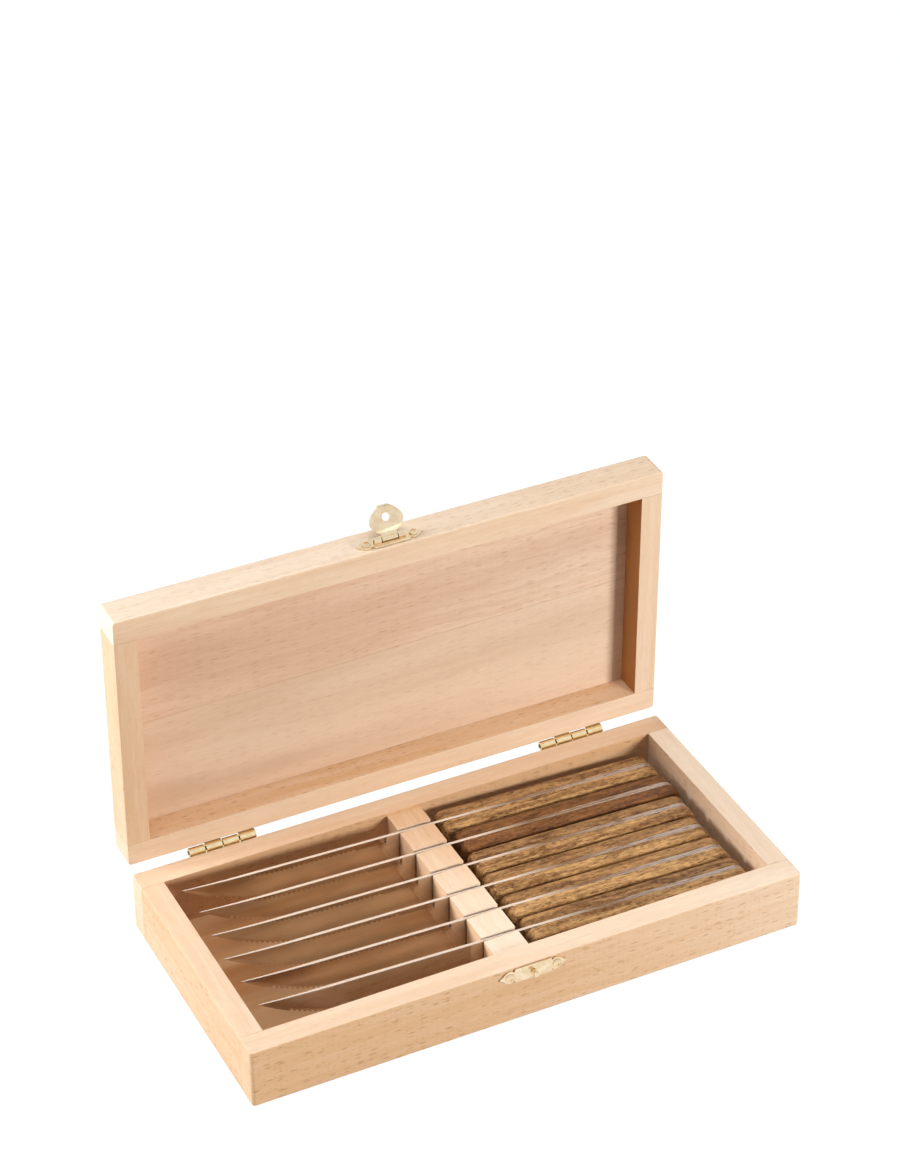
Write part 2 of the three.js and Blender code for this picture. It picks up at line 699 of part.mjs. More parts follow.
// Its lip turns out at the far end, for a fingertip.
function haspFlap() {
  const k = FLAP_KNUCKLE / 2;
  const t = FLAP_THICKNESS / 2;
  const lip = FLAP_LIP_WIDTH / 2;
  let flap = slabXZ(flapOutline(), -t, t, 1);
  flap = flap.add(roundX(HASP_KNUCKLE_RADIUS, -k, k, 0, 0));
  flap = flap.add(block(-lip, -t - FLAP_LIP_LENGTH, -FLAP_REACH, lip, t, 2 * t - FLAP_REACH));
  flap = flap.subtract(roundX(HASP_PIN_RADIUS + PIN_FIT, -k - OVERRUN, k + OVERRUN, 0, 0));
  const hole = roundY(STUD_HEAD_RADIUS + STUD_PLAY, -t - OVERRUN, t + OVERRUN, 0, -FLAP_HOLE_AT);
  return flap.subtract(hole);
}

function catchPlate() {
  const hole = roundY(STUD_RADIUS + GLUE_LINE, FRONT_Y - 2 * PLATE_FACE, FRONT_Y, HASP_X, CATCH_Z);
  return screwedPlate(CATCH_Z).subtract(hole);
}

function catchStud() {
  const r = STUD_HEAD_RADIUS;
  const neck = STUD_HEIGHT - STUD_HEAD_HEIGHT;
  const profile = [
    [0, SEAT],
    [STUD_RADIUS, SEAT],
    [STUD_RADIUS, neck],
    [r, neck + STUD_HEAD_HEIGHT * 0.3],
    [r, neck + STUD_HEAD_HEIGHT * 0.7],
    [r * 0.6, STUD_HEIGHT],
    [0, STUD_HEIGHT],
  ];
  return turned(profile, HASP_X, FRONT_Y, CATCH_Z, -1);
}

// Pilot holes in the front and back boards, with the running fit round every shank.
function pilotHoles(up) {
  const holes = [];
  const z = up > 0 ? HASP_Z : CATCH_Z;
  const bore = SCREW_SHANK + SHANK_FIT;
  for (const x of plateScrews) {
    holes.push(["front", roundY(bore, FRONT_Y - OVERRUN, FRONT_Y + SCREW_LENGTH, x, z, SHANK_SIDES)]);
  }
  const leafBore = LEAF_SCREW_SHANK + SHANK_FIT;
  const deep = WIDTH / 2 - LEAF_SCREW_LENGTH;
  const out = WIDTH / 2 + OVERRUN;
  for (const x of Object.values(hingeStarts).flatMap(leafScrewXs)) {
    holes.push(["back", roundY(leafBore, deep, out, x, leafScrewZ(up), SHANK_SIDES)]);
  }
  return holes;
}

// Adds a half's boards, hinge leaves and screws to its group, all drawn in the closed case.
function addHalf(group, prefix, up, solids) {
  for (const [side, hole] of pilotHoles(up)) {
    const name = `${prefix}_${side}_board`;
    solids[name] = solids[name].subtract(hole);
  }
  for (const [name, solid] of Object.entries(solids)) {
    group.add(piece(name, solid, name.endsWith("panel") ? BEECH_PANEL : BEECH));
  }
  for (const [hinge, x0] of Object.entries(hingeStarts)) {
    group.add(piece(`${hinge}_hinge_${prefix}_leaf`, hingeLeaf(x0, up, up > 0 ? 1 : 0), BRASS));
    leafScrewXs(x0).forEach((x, i) => {
      group.add(piece(`${hinge}_hinge_${prefix}_screw_${i + 1}`, leafScrew(x, up), BRASS));
    });
  }
}

// Tray, with everything that stays still

const tray = new THREE.Group();
addHalf(tray, "tray", -1, caseHalf("tray", TRAY_HEIGHT, TRAY_PANEL, 0));
tray.add(piece("knife_rack", knifeRack(), BEECH));
for (const [hinge, x0] of Object.entries(hingeStarts)) {
  const pin = roundX(HINGE_PIN_RADIUS, x0, x0 + HINGE_LENGTH, HINGE_Y, HINGE_Z);
  tray.add(piece(`${hinge}_hinge_pin`, pin, BRASS));
}
tray.add(piece("catch_plate", catchPlate(), BRASS));
tray.add(piece("catch_stud", catchStud(), BRASS));
plateScrews.forEach((x, i) => {
  tray.add(piece(`catch_screw_${i + 1}`, plateScrew(x, CATCH_Z), BRASS));
});

// Lid, turned open about the hinge pins

const lidHalf = caseHalf("lid", LID_HEIGHT, LID_PANEL, LID_DEPTH);
for (const name of Object.keys(lidHalf)) {
  lidHalf[name] = lidHalf[name].translate([0, 0, TRAY_HEIGHT + LID_CLEARANCE]);
}
const lidParts = new THREE.Group();
addHalf(lidParts, "lid", 1, lidHalf);
lidParts.add(piece("hasp_plate", haspPlate(), BRASS));
lidParts.add(piece("hasp_pin", haspPin(), BRASS));
plateScrews.forEach((x, i) => {
  lidParts.add(piece(`hasp_screw_${i + 1}`, plateScrew(x, HASP_Z), BRASS));
});

const flap = piece("hasp_flap", haspFlap(), BRASS);
flap.position.set(HASP_X, HASP_AXIS_Y, HASP_Z);
flap.rotation.x = THREE.MathUtils.degToRad(-FLAP_LEAN);
lidParts.add(flap);
lidParts.position.set(0, -HINGE_Y, -HINGE_Z);

const lid = new THREE.Group();
lid.add(lidParts);
lid.position.set(0, HINGE_Y, HINGE_Z);
lid.rotation.x = THREE.MathUtils.degToRad(-LID_OPEN);

const knifeCase = new THREE.Group();
knifeCase.add(tray, lid, knives());

export default knifeCase;
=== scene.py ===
# %% [markdown]
# # A beech case with six steak knives
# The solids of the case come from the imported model, and this lesson dresses them. Wherever a finer
# surface shows, a new piece is made in the same place, rides on the same body and stands for its
# solid. Everything is in metres, in the model's own frame: X runs from the knife points to the handle
# ends, -Y is the front and Z is up.

import json
import math
from contextlib import contextmanager

import bmesh
import bpy
import numpy as np
from mathutils import Euler, Matrix, Vector

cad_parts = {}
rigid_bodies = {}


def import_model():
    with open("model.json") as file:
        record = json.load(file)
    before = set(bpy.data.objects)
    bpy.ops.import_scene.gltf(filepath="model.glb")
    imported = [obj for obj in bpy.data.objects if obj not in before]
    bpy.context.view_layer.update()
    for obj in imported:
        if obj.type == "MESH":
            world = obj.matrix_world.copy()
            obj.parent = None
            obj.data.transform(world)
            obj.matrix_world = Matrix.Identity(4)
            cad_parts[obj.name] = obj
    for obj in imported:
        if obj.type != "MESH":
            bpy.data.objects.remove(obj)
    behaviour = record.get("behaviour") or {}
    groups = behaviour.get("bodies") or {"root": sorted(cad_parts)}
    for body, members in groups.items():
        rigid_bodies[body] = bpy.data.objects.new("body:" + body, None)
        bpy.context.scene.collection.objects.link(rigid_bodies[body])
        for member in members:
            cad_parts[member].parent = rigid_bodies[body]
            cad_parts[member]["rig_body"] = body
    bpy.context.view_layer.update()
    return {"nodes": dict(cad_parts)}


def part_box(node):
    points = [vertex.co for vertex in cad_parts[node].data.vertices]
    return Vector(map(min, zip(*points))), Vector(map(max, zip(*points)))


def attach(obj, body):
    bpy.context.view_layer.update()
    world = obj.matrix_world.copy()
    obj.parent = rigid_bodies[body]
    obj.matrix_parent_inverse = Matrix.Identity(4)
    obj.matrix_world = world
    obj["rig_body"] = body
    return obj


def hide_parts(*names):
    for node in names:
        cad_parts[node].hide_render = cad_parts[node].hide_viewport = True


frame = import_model()
NODES = frame["nodes"]
MM = 0.001

# %% [markdown]
# ## The camera
# A photograph is easiest to match with a camera worked out from the object's own edges. This one
# stands left of the front, 34 degrees up and a metre and a half away, and leans by half a degree.
# A long lens from far off keeps the case's edges almost parallel.

# %% Camera
PHOTO_AZIMUTH = math.radians(-25.82)
PHOTO_ELEVATION = math.radians(34.26)
PHOTO_ROLL = math.radians(-0.539)
CAMERA_DISTANCE, CAMERA_ASIDE, CAMERA_UP = 1.50142, -0.007285, 0.147754
LENS_MM = 104.9


def photo_camera():
    turn = Euler((math.pi / 2 - PHOTO_ELEVATION, 0, PHOTO_AZIMUTH)).to_matrix()
    turn = turn @ Matrix.Rotation(PHOTO_ROLL, 3, "Z")
    place = turn @ Vector((CAMERA_ASIDE, CAMERA_UP, CAMERA_DISTANCE))
    camera = bpy.data.objects.new("photo_camera", bpy.data.cameras.new("photo_camera"))
    camera.data.lens = LENS_MM
    camera.data.clip_start = 0.05
    camera.matrix_world = Matrix.LocRotScale(place, turn, None)
    bpy.context.scene.collection.objects.link(camera)
    bpy.context.scene.camera = camera
    return place


print("camera at", [round(part, 3) for part in photo_camera()])

# %% [markdown]
# ## Node trees from Python
# Shaders and Geometry Nodes are both trees of nodes, so one helper serves both. `Bench` adds any node
# by its type, sets it up and feeds its sockets. `Wire` is a value on its way to the next node: with
# Python's own operators a formula reads as a formula, and each operator adds one Math node.

# %% Wire and Bench
def operator(operation, reflected=False):
    """A method of Wire that adds one Math node. Reflected swaps its two values."""
    def apply(self, other):
        terms = (other, self) if reflected else (self, other)
        return self.bench.node("ShaderNodeMath", {"operation": operation}, dict(enumerate(terms)))

    return apply


class Wire:
    """A value that flows through a tree."""

    __add__, __radd__ = operator("ADD"), operator("ADD", True)
    __sub__, __rsub__ = operator("SUBTRACT"), operator("SUBTRACT", True)
    __mul__, __rmul__ = operator("MULTIPLY"), operator("MULTIPLY", True)
    __truediv__, __pow__ = operator("DIVIDE"), operator("POWER")
    atleast, atmost = operator("MAXIMUM"), operator("MINIMUM")
    above, below = operator("GREATER_THAN"), operator("LESS_THAN")

    def __init__(self, bench, socket):
        self.bench = bench
        self.socket = socket

    def maths(self, operation):
        """A sum of this one value alone, such as its sine."""
        return self.bench.node("ShaderNodeMath", {"operation": operation}, {0: self})

    def within(self, low=0.0, high=1.0):
        return self.atleast(low).atmost(high)

    def rise(self, start, end):
        """0 before start, 1 after end and smooth between them; start may be the larger one."""
        inputs = {"Value": self, "From Min": start, "From Max": end}
        return self.bench.node("ShaderNodeMapRange", {"interpolation_type": "SMOOTHSTEP"}, inputs)


class Bench:
    """A tree that is being wired, and the material or world that it belongs to."""

    def __init__(self, tree, owner=None):
        self.tree = tree
        self.owner = owner

    def node(self, kind, settings=None, inputs=None, out=0):
        made = self.tree.nodes.new(kind)
        for name, value in (settings or {}).items():
            setattr(made, name, value)
        for key, value in (inputs or {}).items():
            if isinstance(value, Wire):
                self.tree.links.new(value.socket, made.inputs[key])
            else:
                made.inputs[key].default_value = value
        return Wire(self, made.outputs[out] if len(made.outputs) else None)

    def blend(self, share, first, second):
        """Mixes two colours."""
        inputs = {0: share, 6: colour(first), 7: colour(second)}
        return self.node("ShaderNodeMix", {"data_type": "RGBA"}, inputs, out=2)

    def vector(self, operation, first, second):
        return self.node("ShaderNodeVectorMath", {"operation": operation}, {0: first, 1: second})

    def xyz(self, x=0.0, y=0.0, z=0.0):
        return self.node("ShaderNodeCombineXYZ", inputs={0: x, 1: y, 2: z})

    def parts(self, vector):
        """The three numbers of a vector."""
        split = self.node("ShaderNodeSeparateXYZ", inputs={0: vector}).socket.node
        return [Wire(self, socket) for socket in split.outputs]


def colour(value):
    """Red, green and blue from 0 to 255, as they are read off a screen, made linear for a socket."""
    if isinstance(value, Wire):
        return value
    linear = []
    for part in value:
        part = part / 255
        linear.append(part / 12.92 if part <= 0.04045 else ((part + 0.055) / 1.055) ** 2.4)
    return (*linear, 1.0)


print("beech tan is", [round(part, 3) for part in colour((226, 184, 142))])

# %% [markdown]
# ## Floor and light
# The case stands in a bright studio with a white surround. Three soft lamps light it at a plain
# level: one from the left and a little behind, one from above, and a low one from the right of the
# front, which lights the front faces and the lid but hardly reaches into the tray. The surround is
# white only to the camera's rays and to mirror reflections and adds very little light, so the floor
# keeps its shadow. Metal mirrors the surround and not the lamps, whose glare would blank out the
# brass flap and the tangs. They are pale and even in the photograph.

# %% Floor, world and lamps
WHITE, GREY = (1, 1, 1, 1), (0.4, 0.4, 0.4, 1)
AMBIENT = 0.05
MIRRORED = 0.85
FLOOR_HALF, FLOOR_DROP = 4.0, -0.0002
FLOOR_GLOW, GLOW_SHARE = 1.36, 0.7


def new_nodes(owner):
    """Gives a material or a world an empty tree, ready on its bench."""
    owner.use_nodes = True
    owner.node_tree.nodes.clear()
    return Bench(owner.node_tree, owner)


def looked_at(bench):
    """1 for the camera's own rays, and a little less for those that a mirror or glass sends on."""
    rays = bench.node("ShaderNodeLightPath").socket.node.outputs
    camera, glossy = Wire(bench, rays["Is Camera Ray"]), Wire(bench, rays["Is Glossy Ray"])
    return camera.atleast(glossy.atleast(Wire(bench, rays["Is Transmission Ray"])) * MIRRORED)


@contextmanager
def opened(mesh):
    """Opens a mesh for work on its faces and writes the result back."""
    bm = bmesh.new()
    bm.from_mesh(mesh)
    yield bm
    bm.to_mesh(mesh)
    bm.free()


def set_up(name, data):
    """A new object in the scene."""
    holder = bpy.data.objects.new(name, data)
    bpy.context.scene.collection.objects.link(holder)
    return holder


def pale_floor():
    mesh = bpy.data.meshes.new("floor")
    with opened(mesh) as bm:
        bmesh.ops.create_grid(bm, x_segments=1, y_segments=1, size=FLOOR_HALF)
    floor = set_up("floor", mesh)
    floor.location.z = FLOOR_DROP
    bench = new_nodes(bpy.data.materials.new("floor_white"))
    paper = bench.node("ShaderNodeBsdfDiffuse", inputs={"Color": GREY})
    glow = bench.node("ShaderNodeEmission", inputs={"Color": WHITE, "Strength": FLOOR_GLOW})
    share = looked_at(bench) * GLOW_SHARE
    mixed = bench.node("ShaderNodeMixShader", inputs={0: share, 1: paper, 2: glow})
    bench.node("ShaderNodeOutputMaterial", inputs={"Surface": mixed})
    mesh.materials.append(bench.owner)


def white_surround():
    bench = new_nodes(bpy.data.worlds.new("studio"))
    light = looked_at(bench) * (1 - AMBIENT) + AMBIENT
    surround = bench.node("ShaderNodeBackground", inputs={"Color": WHITE, "Strength": light})
    bench.node("ShaderNodeOutputWorld", inputs={"Surface": surround})
    bpy.context.scene.world = bench.owner


def soft_lamp(name, place, wide, high, watts):
    lamp = bpy.data.lights.new(name, "AREA")
    lamp.shape = "RECTANGLE"
    lamp.size = wide
    lamp.size_y = high
    lamp.energy = watts
    holder = set_up(name, lamp)
    holder.location = place
    aim = Vector((0, 0, 0.05)) - Vector(place)
    holder.rotation_euler = aim.to_track_quat("-Z", "Y").to_euler()
    holder.visible_glossy = False


bpy.context.scene.view_settings.view_transform = "Standard"
pale_floor()
white_surround()
soft_lamp("lamp_left", (-1.6, 0.52, 0.6), 0.8, 0.6, 36)
soft_lamp("lamp_above", (-0.12, -0.2, 1.85), 0.9, 0.9, 19)
soft_lamp("lamp_right", (0.93, -1.6, 0.46), 0.5, 0.5, 31.5)
print("stage set with", len(bpy.data.lights), "lamps")

# %% [markdown]
# ## Finer copies of the solids
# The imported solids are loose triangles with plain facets. A copy is merged point by point, its flat
# faces are joined, and then only real corners are kept sharp, so that a rounded edge shines in one
# soft line. The solid itself is left alone and hidden behind its copy.

# %% Mesh helpers
CORNER = math.radians(33)
SAME_POINT, SAME_FACE = 1e-6, math.radians(0.5)


def soften(mesh, corner=CORNER):
    """Shades a mesh smooth, except where two faces meet at more than the corner angle."""
    with opened(mesh) as bm:
        for face in bm.faces:
            face.smooth = True
        for edge in bm.edges:
            edge.smooth = len(edge.link_faces) == 2 and edge.calc_face_angle(0) < corner


def plain_mesh(holder):
    """The mesh that an object comes to once its modifiers have run. The object is then removed."""
    bpy.context.view_layer.update()
    seen = holder.evaluated_get(bpy.context.evaluated_depsgraph_get())
    mesh = bpy.data.meshes.new_from_object(seen)
    bpy.data.objects.remove(holder)
    return mesh


def body_of(node):
    return NODES[node]["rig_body"]


def new_piece(name, mesh, material, stands_for):
    """Gives a finished mesh its material, puts it on the body of the solids it stands for and hides them.
    """
    mesh.name = name
    mesh.materials.clear()
    mesh.materials.append(material)
    piece = set_up(name, mesh)
    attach(piece, body_of(stands_for[0]))
    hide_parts(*stands_for)


def finer_copy(node):
    mesh = NODES[node].data.copy()
    with opened(mesh) as bm:
        bmesh.ops.remove_doubles(bm, verts=bm.verts, dist=SAME_POINT)
        bmesh.ops.dissolve_limit(bm, angle_limit=SAME_FACE, verts=bm.verts, edges=bm.edges)
    soften(mesh)
    holder = set_up(node + "_copy", mesh)
    holder.modifiers.new("even", "WEIGHTED_NORMAL").keep_sharp = True
    return plain_mesh(holder)


print("a board has", len(finer_copy("tray_front_board").polygons), "faces once it is merged")

# %% [markdown]
# ## Which way the grain runs
# A board's figure belongs to the board, not to the room: it runs along its length and looks
# different on its edge. So every wooden piece carries `grain`, the place measured along, across and
# into the board, with a start of its own, so that no two boards look alike. Its `cut` says how far
# the surface faces along, across or out of the board: end grain, edge or face. Boards and rack also
# carry painted light and shade in an attribute that says how pale they are, and below 0 how brown:
# paler where the lamps light a face strongly, browner on inner faces in shade. It is given for the
# faces and for the edges, each at the case's left and right end, and once for the face that looks
# into the box. On the rack the two ends are the back and the front.

# %% Grain attributes
X, Y, Z = Vector((1, 0, 0)), Vector((0, 1, 0)), Vector((0, 0, 1))
CASE_LENGTH = 260 * MM
INSIDE = 4 * MM
DASH_CORE, DASH_RIM = 0.06, 0.44


def read(parts, field, width=3, kind=np.float32):
    """What a mesh's points or corners hold in one field, a row of numbers for each."""
    numbers = np.zeros(len(parts) * width, kind)
    parts.foreach_get(field, numbers)
    return numbers.reshape(-1, width)


def facings_of(mesh):
    """The direction that each corner of each face is shaded towards."""
    return read(mesh.corner_normals, "vector")


def lay(mesh, name, domain, values):
    """Writes an attribute of numbers or, from rows of three, of vectors."""
    kind, field = ("FLOAT", "value") if values.ndim == 1 else ("FLOAT_VECTOR", "vector")
    laid = mesh.attributes.new(name, kind, domain)
    laid.data.foreach_set(field, values.astype(np.float32).ravel())


def lay_grain(mesh, along, across, seed):
    """Writes grain and cut for a board that runs along one direction and is wide across another."""
    turn = np.array([along, across, along.cross(across)], float)
    start = np.random.default_rng(seed).uniform(1, 3, 3)
    lay(mesh, "grain", "POINT", read(mesh.vertices, "co") @ turn.T + start)
    lay(mesh, "cut", "CORNER", (facings_of(mesh) @ turn.T) ** 2)


def lay_painted_light_and_shade(mesh, across, middle, faces, edges, inner, run=X / CASE_LENGTH):
    """Writes painted light and shade as paleness. The middle is a point in the box that the inner face
    looks at.
    """
    points = read(mesh.loops, "vertex_index", 1, np.int32)[:, 0]
    places, facings = read(mesh.vertices, "co")[points], facings_of(mesh)
    share = places @ np.array(run, float) + 0.5
    face, edge = np.interp(share, (0, 1), faces), np.interp(share, (0, 1), edges)
    looking_in = ((np.array(middle) - places) * facings).sum(1) > INSIDE
    face = np.where(looking_in, inner, face)
    on_edge = (facings @ np.array(across, float)) ** 2
    lay(mesh, "painted_light_and_shade", "CORNER", face + (edge - face) * on_edge)


def attribute(bench, name, out="Vector"):
    return bench.node("ShaderNodeAttribute", {"attribute_name": name}, out=out)


def noise(bench, vector, scales, detail=2.0, roughness=0.5, distortion=0.0):
    """Cloudy noise, with its own scale along each direction, in repeats per metre."""
    inputs = {
        "Vector": bench.vector("MULTIPLY", vector, scales), "Scale": 1.0, "Detail": detail,
        "Roughness": roughness, "Distortion": distortion,
    }
    return bench.node("ShaderNodeTexNoise", inputs=inputs)


def dashes(bench, vector, scales, share):
    """Short separate strokes, in a share of the cells that the scaled space falls into."""
    inputs = {"Vector": bench.vector("MULTIPLY", vector, scales), "Scale": 1.0}
    cell = bench.node("ShaderNodeTexVoronoi", inputs=inputs)
    shade = Wire(bench, cell.socket.node.outputs["Color"])
    pick = bench.node("ShaderNodeSeparateColor", inputs={0: shade})
    return cell.rise(DASH_RIM, DASH_CORE) * pick.rise(1 - share, 1.1 - share)


def finish_with(bench, base, rough, relief, bump, depth, metal=0.0, shine=0.5):
    """Adds the surface shader, with a bump, and the output, and returns the material."""
    rise = {"Strength": bump, "Distance": depth, "Height": relief}
    surface = bench.node("ShaderNodeBsdfPrincipled", inputs={
        "Base Color": base, "Roughness": rough, "Metallic": metal, "Specular IOR Level": shine,
        "Normal": bench.node("ShaderNodeBump", inputs=rise),
    })
    bench.node("ShaderNodeOutputMaterial", inputs={"Surface": surface})
    return bench.owner


print("grain runs along, across and into each board")

# %% [markdown]
# ## Beech
# Beech is pale and even, and what marks it are its rays: short brown strokes on the broad face, a
# couple of millimetres long and a hair wide. On the edges the rays are cut along and almost vanish.
# The recipe mixes slow drifts of tone along the board, soft growth bands, fine fibre and the strokes,
# and the painted light and shade moves each face and edge between brown, tan and pale: pale where the
# lamps light it strongly, brown where it lies in shade.

# %% Beech material
def new_wood(name, wander):
    """A new material's bench and the grain's space, which drifts so that no line in it is straight."""
    bench = new_nodes(bpy.data.materials.new(name))
    grain = attribute(bench, "grain")
    aside = (noise(bench, grain, (28, 60, 60)) - 0.5) * wander
    return bench, bench.vector("ADD", grain, bench.xyz(y=aside, z=aside))


def beech(name, strokes=1.0):
    bench, flow = new_wood(name, 0.004)
    end, edge, face = bench.parts(attribute(bench, "cut"))
    painted_light_and_shade = attribute(bench, "painted_light_and_shade", "Fac")
    drift = noise(bench, flow, (5, 32, 32), 3, 0.55, 0.4)
    growth = noise(bench, flow, (9, 260, 260), 4, 0.6, 0.7)
    fibre = noise(bench, flow, (150, 2600, 2600), 3, 0.6)
    fleck = dashes(bench, flow, (170, 1000, 260), 0.4)
    small = dashes(bench, flow, (420, 1700, 600), 0.4)
    tone = drift.rise(0.3, 0.7) * 0.2 + growth.rise(0.3, 0.7) * 0.2 - 0.2
    # Painted light and shade: the board goes towards pale where the lamps light it strongly, and towards
    # brown on inner faces that lie in shade.
    paler = (painted_light_and_shade + end * 0.2 + tone).within()
    wood = bench.blend((0 - painted_light_and_shade).within(), bench.blend(paler, TAN, PALE), BROWN)
    wood = bench.blend(fibre.rise(0.35, 0.75) * 0.14, wood, STROKE)
    broad = face * 0.95 + edge * 0.12 + end * 0.08
    marks = (fleck * 0.85 + small * 0.55).within() * broad * (1 - painted_light_and_shade * 0.8).within() * strokes
    wood = bench.blend(marks.within(), wood, STROKE)
    rough = 0.5 + fibre * 0.12 + marks * 0.1
    relief = fibre * 0.35 - marks
    return finish_with(bench, wood, rough, relief, bump=0.5, depth=0.15 * MM, shine=DULL)


# Pale stands partly for faces that the lamps light strongly, and the brown below is painted shade for
# inner faces.
TAN, PALE = (220, 178, 136), (248, 230, 208)
STROKE, BROWN = (174, 126, 86), (194, 138, 86)
DULL = 0.08
BEECH = beech("beech")
SMOOTH_BEECH = beech("beech_smooth", strokes=0.3)
print("beech has", len(BEECH.node_tree.nodes), "nodes")

# %% [markdown]
# ## Panels
# The lid's panel is glued up from two wide staves, the upper one pinker than the lower one. Their
# border is a thin glue line that climbs a little to the right. Both staves get paler in that
# direction, which is painted light from the lamp on the right. The tray's panel is one stave, painted
# browner as the shade inside the tray and also paler to the right; its glue line lies far outside the
# case.

# %% Panel material
def beech_panel(name, border, slope, upper_ends, lower_ends, pale):
    bench, flow = new_wood(name, 0.006)
    x, y, z = bench.parts(bench.node("ShaderNodeTexCoord", out="Object"))
    drift = noise(bench, flow, (6, 40, 40), 4, 0.55, 0.5)
    growth = noise(bench, flow, (12, 330, 330), 4, 0.62, 0.8)
    fibre = noise(bench, flow, (150, 2400, 2400), 3, 0.6)
    fleck = dashes(bench, flow, (150, 950, 260), 0.45)
    small = dashes(bench, flow, (330, 1700, 600), 0.45)
    above = z - border - x * slope
    high = above.rise(-0.4 * MM, 0.4 * MM)
    seam = (1 - above.maths("ABSOLUTE") / (0.5 * MM)).within()
    # Painted light: both staves get paler to the right, where the lamp on the right lights the panel
    # more.
    share = (x / CASE_LENGTH + 0.5).within()
    upper = bench.blend(share, upper_ends[0], upper_ends[1])
    lower = bench.blend(share, lower_ends[0], lower_ends[1])
    wood = bench.blend(high, lower, upper)
    wood = bench.blend(drift.rise(0.35, 0.65) * 0.4, wood, pale)
    wood = bench.blend(growth.rise(0.35, 0.7) * (0.1 + high * 0.2), wood, BAND)
    wood = bench.blend(fibre.rise(0.35, 0.75) * 0.16, wood, FIBRE)
    wood = bench.blend(seam * 0.3, wood, GLUE)
    marks = (fleck * 0.45 + small * 0.25).within()
    wood = bench.blend(marks * (0.6 + high * 0.4), wood, FLECK)
    rough, relief = 0.5 + fibre * 0.12, fibre * 0.35 - marks
    return finish_with(bench, wood, rough, relief, bump=0.6, depth=0.2 * MM, shine=DULL)


BAND, FIBRE = (204, 158, 126), (184, 140, 106)
GLUE, FLECK = (176, 130, 98), (190, 140, 106)
PINKISH = ((217, 179, 149), (231, 200, 174))
CREAMY = ((208, 172, 141), (229, 201, 174))
# The tray panel's browns are painted shade, for the shade inside the tray.
BROWNISH = ((176, 122, 76), (205, 158, 112))
GLUE_HEIGHT, GLUE_SLOPE, OUT_OF_SIGHT = 97.6 * MM, 0.0175, 0.5
LID_PANEL = beech_panel("beech_lid_panel", GLUE_HEIGHT, GLUE_SLOPE, PINKISH, CREAMY, (248, 222, 196))
TRAY_PANEL = beech_panel("beech_tray_panel", OUT_OF_SIGHT, 0, BROWNISH, BROWNISH, (234, 198, 156))
print("panels have", len(LID_PANEL.node_tree.nodes), "nodes")

# %% [markdown]
# ## The wooden case
# Every board lies in its own direction, and in the open lid the end boards stand upright. The table
# gives each board its directions along and across, and its tones of painted light and shade for the
# faces and the edges at each end and for the inner face. The rack's rays hardly show, and it is
# painted darker at the back, where the lid shades it.

# %% Boards, panels and rack
# The tones are painted light and shade: faces and edges at each end, and the inner face, paler where the
# lamps light strongly and browner in shade.
BOARDS = {
    "tray_front_board": (X, Z, (0.04, 0.36), (0.55, 0.75), 0.5),
    "tray_back_board": (X, Z, (0.3, 0.3), (0.36, 0.3), -0.1),
    "tray_left_board": (Y, Z, (0.25, 0.25), (0.5, 0.5), -0.15),
    "tray_right_board": (Y, Z, (0.3, 0.3), (0.75, 0.75), 0.5),
    # The lid's top is painted pale at its left end, a painted highlight where the left lamp lights it
    # hardest.
    "lid_front_board": (X, Y, (0.92, 0.55), (0.36, 0.48), 0.1),
    "lid_back_board": (X, Y, (0.3, 0.3), (0.38, 0.5), 0.15),
    "lid_left_board": (Z, Y, (0.4, 0.4), (0.25, 0.25), 0.2),
    # Its inner face is painted brown all over, as painted shade where no lamp reaches.
    "lid_right_board": (Z, Y, (0.3, 0.3), (0.4, 0.4), -1.0),
}
MIDDLES = {"tray": (0, 0, 0.016), "lid": (0, 0.07, 0.109)}
RACK_LENGTH = 107 * MM


def wooden(node, along, across, seed, slot, material, *painted_light_and_shade):
    wood = finer_copy(node)
    lay_grain(wood, along, across, seed)
    if painted_light_and_shade:
        lay_painted_light_and_shade(wood, across, *painted_light_and_shade)
    new_piece(node + "_wood", wood, material, [node])


for seed, (node, (along, across, *tones)) in enumerate(BOARDS.items(), 11):
    wooden(node, along, across, seed, "beech", BEECH, MIDDLES[node.split("_")[0]], *tones)
# Painted shade: the rack is darker at the back, where the lid shades it, and paler at the front.
rack_tones = (0.1, 0.9), (0.2, 0.2), 0.3
wooden("knife_rack", Y, X, 20, "beech", SMOOTH_BEECH, -Z, *rack_tones, -Y / RACK_LENGTH)
wooden("tray_panel", X, Y, 31, "beech_panel", TRAY_PANEL)
wooden("lid_panel", X, Z, 32, "beech_panel", LID_PANEL)
print(len(BOARDS), "boards, a rack and two panels")

# %% [markdown]
# ## Handle wood
# The scales are an open-grained brown hardwood: golden streaks over brown, with dark pores that show
# as fine broken lines along the handle. The front scales are painted more golden and the back scales
# browner, as painted light and shade: the lamps light the front of each handle. The second knife from
# the back has scales from a darker, redder board.

